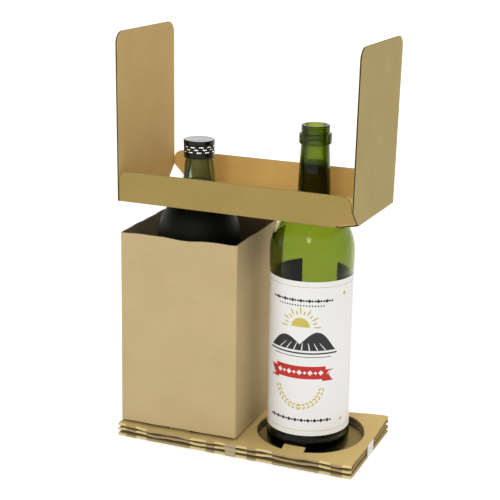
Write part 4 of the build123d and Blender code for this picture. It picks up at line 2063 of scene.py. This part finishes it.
@dataclass
class Studio:
    """Camera at the photograph's place, a white floor and soft lamps."""

    eye: Triple = (426.25, -1047.19, 507.34)
    right: Triple = (0.9227, 0.3854, 0.0128)
    up: Triple = (-0.1179, 0.2504, 0.9609)
    forward: Triple = (-0.3671, 0.8881, -0.2764)
    lens: float = 92.38
    floor_half: float = 12.0
    floor_steps: int = 9
    floor_drop: float = 0.3
    floor_glow: float = 0.45
    world_light: float = 0.85
    aim: Triple = (0.0, 0.0, 0.18)
    lamps: tuple[tuple[str, Triple, float, float], ...] = (
        ("key_lamp", (0.3, -1.9, 1.3), 0.45, 8.5),
        ("top_lamp", (0.3, 0.4, 2.1), 1.2, 11.0),
    )

    def build_camera(self) -> None:
        """Sets the camera by its three directions."""
        data = bpy.data.cameras.new("camera")
        data.lens = self.lens
        data.sensor_width = 36.0
        camera = bpy.data.objects.new("camera", data)
        back = [-part for part in self.forward]
        turn = Matrix([self.right, self.up, back]).transposed().to_quaternion()
        camera.rotation_mode = "QUATERNION"
        camera.rotation_quaternion = turn
        camera.location = Vector(self.eye) * MM
        bpy.context.scene.collection.objects.link(camera)
        bpy.context.scene.camera = camera

    @staticmethod
    def seen(tree: Tree) -> Socket:
        """1 for a ray that shows the background: from the camera, off gloss or through glass.

        Args:
            tree: node tree that the value goes into.

        Returns:
            The output with the value.
        """
        path = tree.node("LightPath")
        some = tree.math("MAXIMUM", path.outputs["Is Camera Ray"], path.outputs["Is Glossy Ray"])
        return tree.math("MAXIMUM", some, path.outputs["Is Transmission Ray"])

    def build_world(self) -> None:
        """Lights from all round, and shows white."""
        world = bpy.data.worlds.new("studio_world")
        world.use_nodes = True
        bpy.context.scene.world = world
        tree = Tree(world.node_tree)
        shown = self.seen(tree)
        strength = tree.math("MULTIPLY_ADD", shown, 1.0 - self.world_light, self.world_light)
        background = world.node_tree.nodes["Background"]
        background.inputs["Color"].default_value = (1.0, 1.0, 1.0, 1.0)
        world.node_tree.links.new(strength, background.inputs["Strength"])

    def build_floor(self) -> None:
        """Lays the floor: matt white, and lifted to white where it is seen, under the object's shadow."""
        steps = np.linspace(-self.floor_half, self.floor_half, self.floor_steps) / MM
        x, y = np.meshgrid(steps, steps)
        mesh = bpy.data.meshes.new("floor")
        points = np.stack([x, y, 0 * x - self.floor_drop], axis=-1).reshape(-1, 3) * MM
        mesh.from_pydata(points.tolist(), [], grid_quads(*x.shape).tolist())
        floor = bpy.data.objects.new("floor", mesh)
        bpy.context.scene.collection.objects.link(floor)
        recipe = Recipe("floor_white")
        recipe.feed(Base_Color=(0.8, 0.8, 0.8, 1.0), Roughness=0.9, Specular_IOR_Level=0.1)
        recipe.feed(Emission_Color=(1.0, 1.0, 1.0, 1.0))
        recipe.feed(Emission_Strength=recipe.math("MULTIPLY", self.seen(recipe), self.floor_glow))
        mesh.materials.append(recipe.material)

    def add_lamp(self, name: str, place: Triple, size: float, power: float) -> None:
        """Adds a square soft lamp that points at the pack.

        Args:
            name: its name.
            place: where it hangs, in metres.
            size: length of its side, in metres.
            power: its power, in watts.
        """
        data = bpy.data.lights.new(name, "AREA")
        data.shape = "SQUARE"
        data.size = size
        data.energy = power
        lamp = bpy.data.objects.new(name, data)
        lamp.location = place
        towards = Vector(self.aim) - Vector(place)
        lamp.rotation_mode = "QUATERNION"
        lamp.rotation_quaternion = towards.to_track_quat("-Z", "Y")
        bpy.context.scene.collection.objects.link(lamp)

    def build(self) -> None:
        """Builds the studio."""
        self.build_camera()
        self.build_world()
        self.build_floor()
        for lamp in self.lamps:
            self.add_lamp(*lamp)
        bpy.context.scene.view_settings.view_transform = "Standard"
        bpy.context.scene.cycles.caustics_refractive = False


def main() -> None:
    """Builds the studio and the pack, piece by piece."""
    logging.basicConfig(level=logging.INFO, format="%(name)s %(message)s")
    Studio().build()
    palette = Palette()
    BasePad(palette).build()
    PadTape(palette).build()
    Sleeve(palette).build()
    tray = NeckTray(palette)
    tray.build()
    EndFlap(tray, -1, 0.0).build()
    EndFlap(tray, 1, 1.0).build()
    right = RightBottle(palette)
    right.build_glass()
    Label(palette, right).build()
    left = LeftBottle(palette)
    left.build_glass()
    left.build_wine()
    cap = ScrewCap(palette)
    cap.build_cap()
    cap.build_ring()


if __name__ == "__main__":
    main()
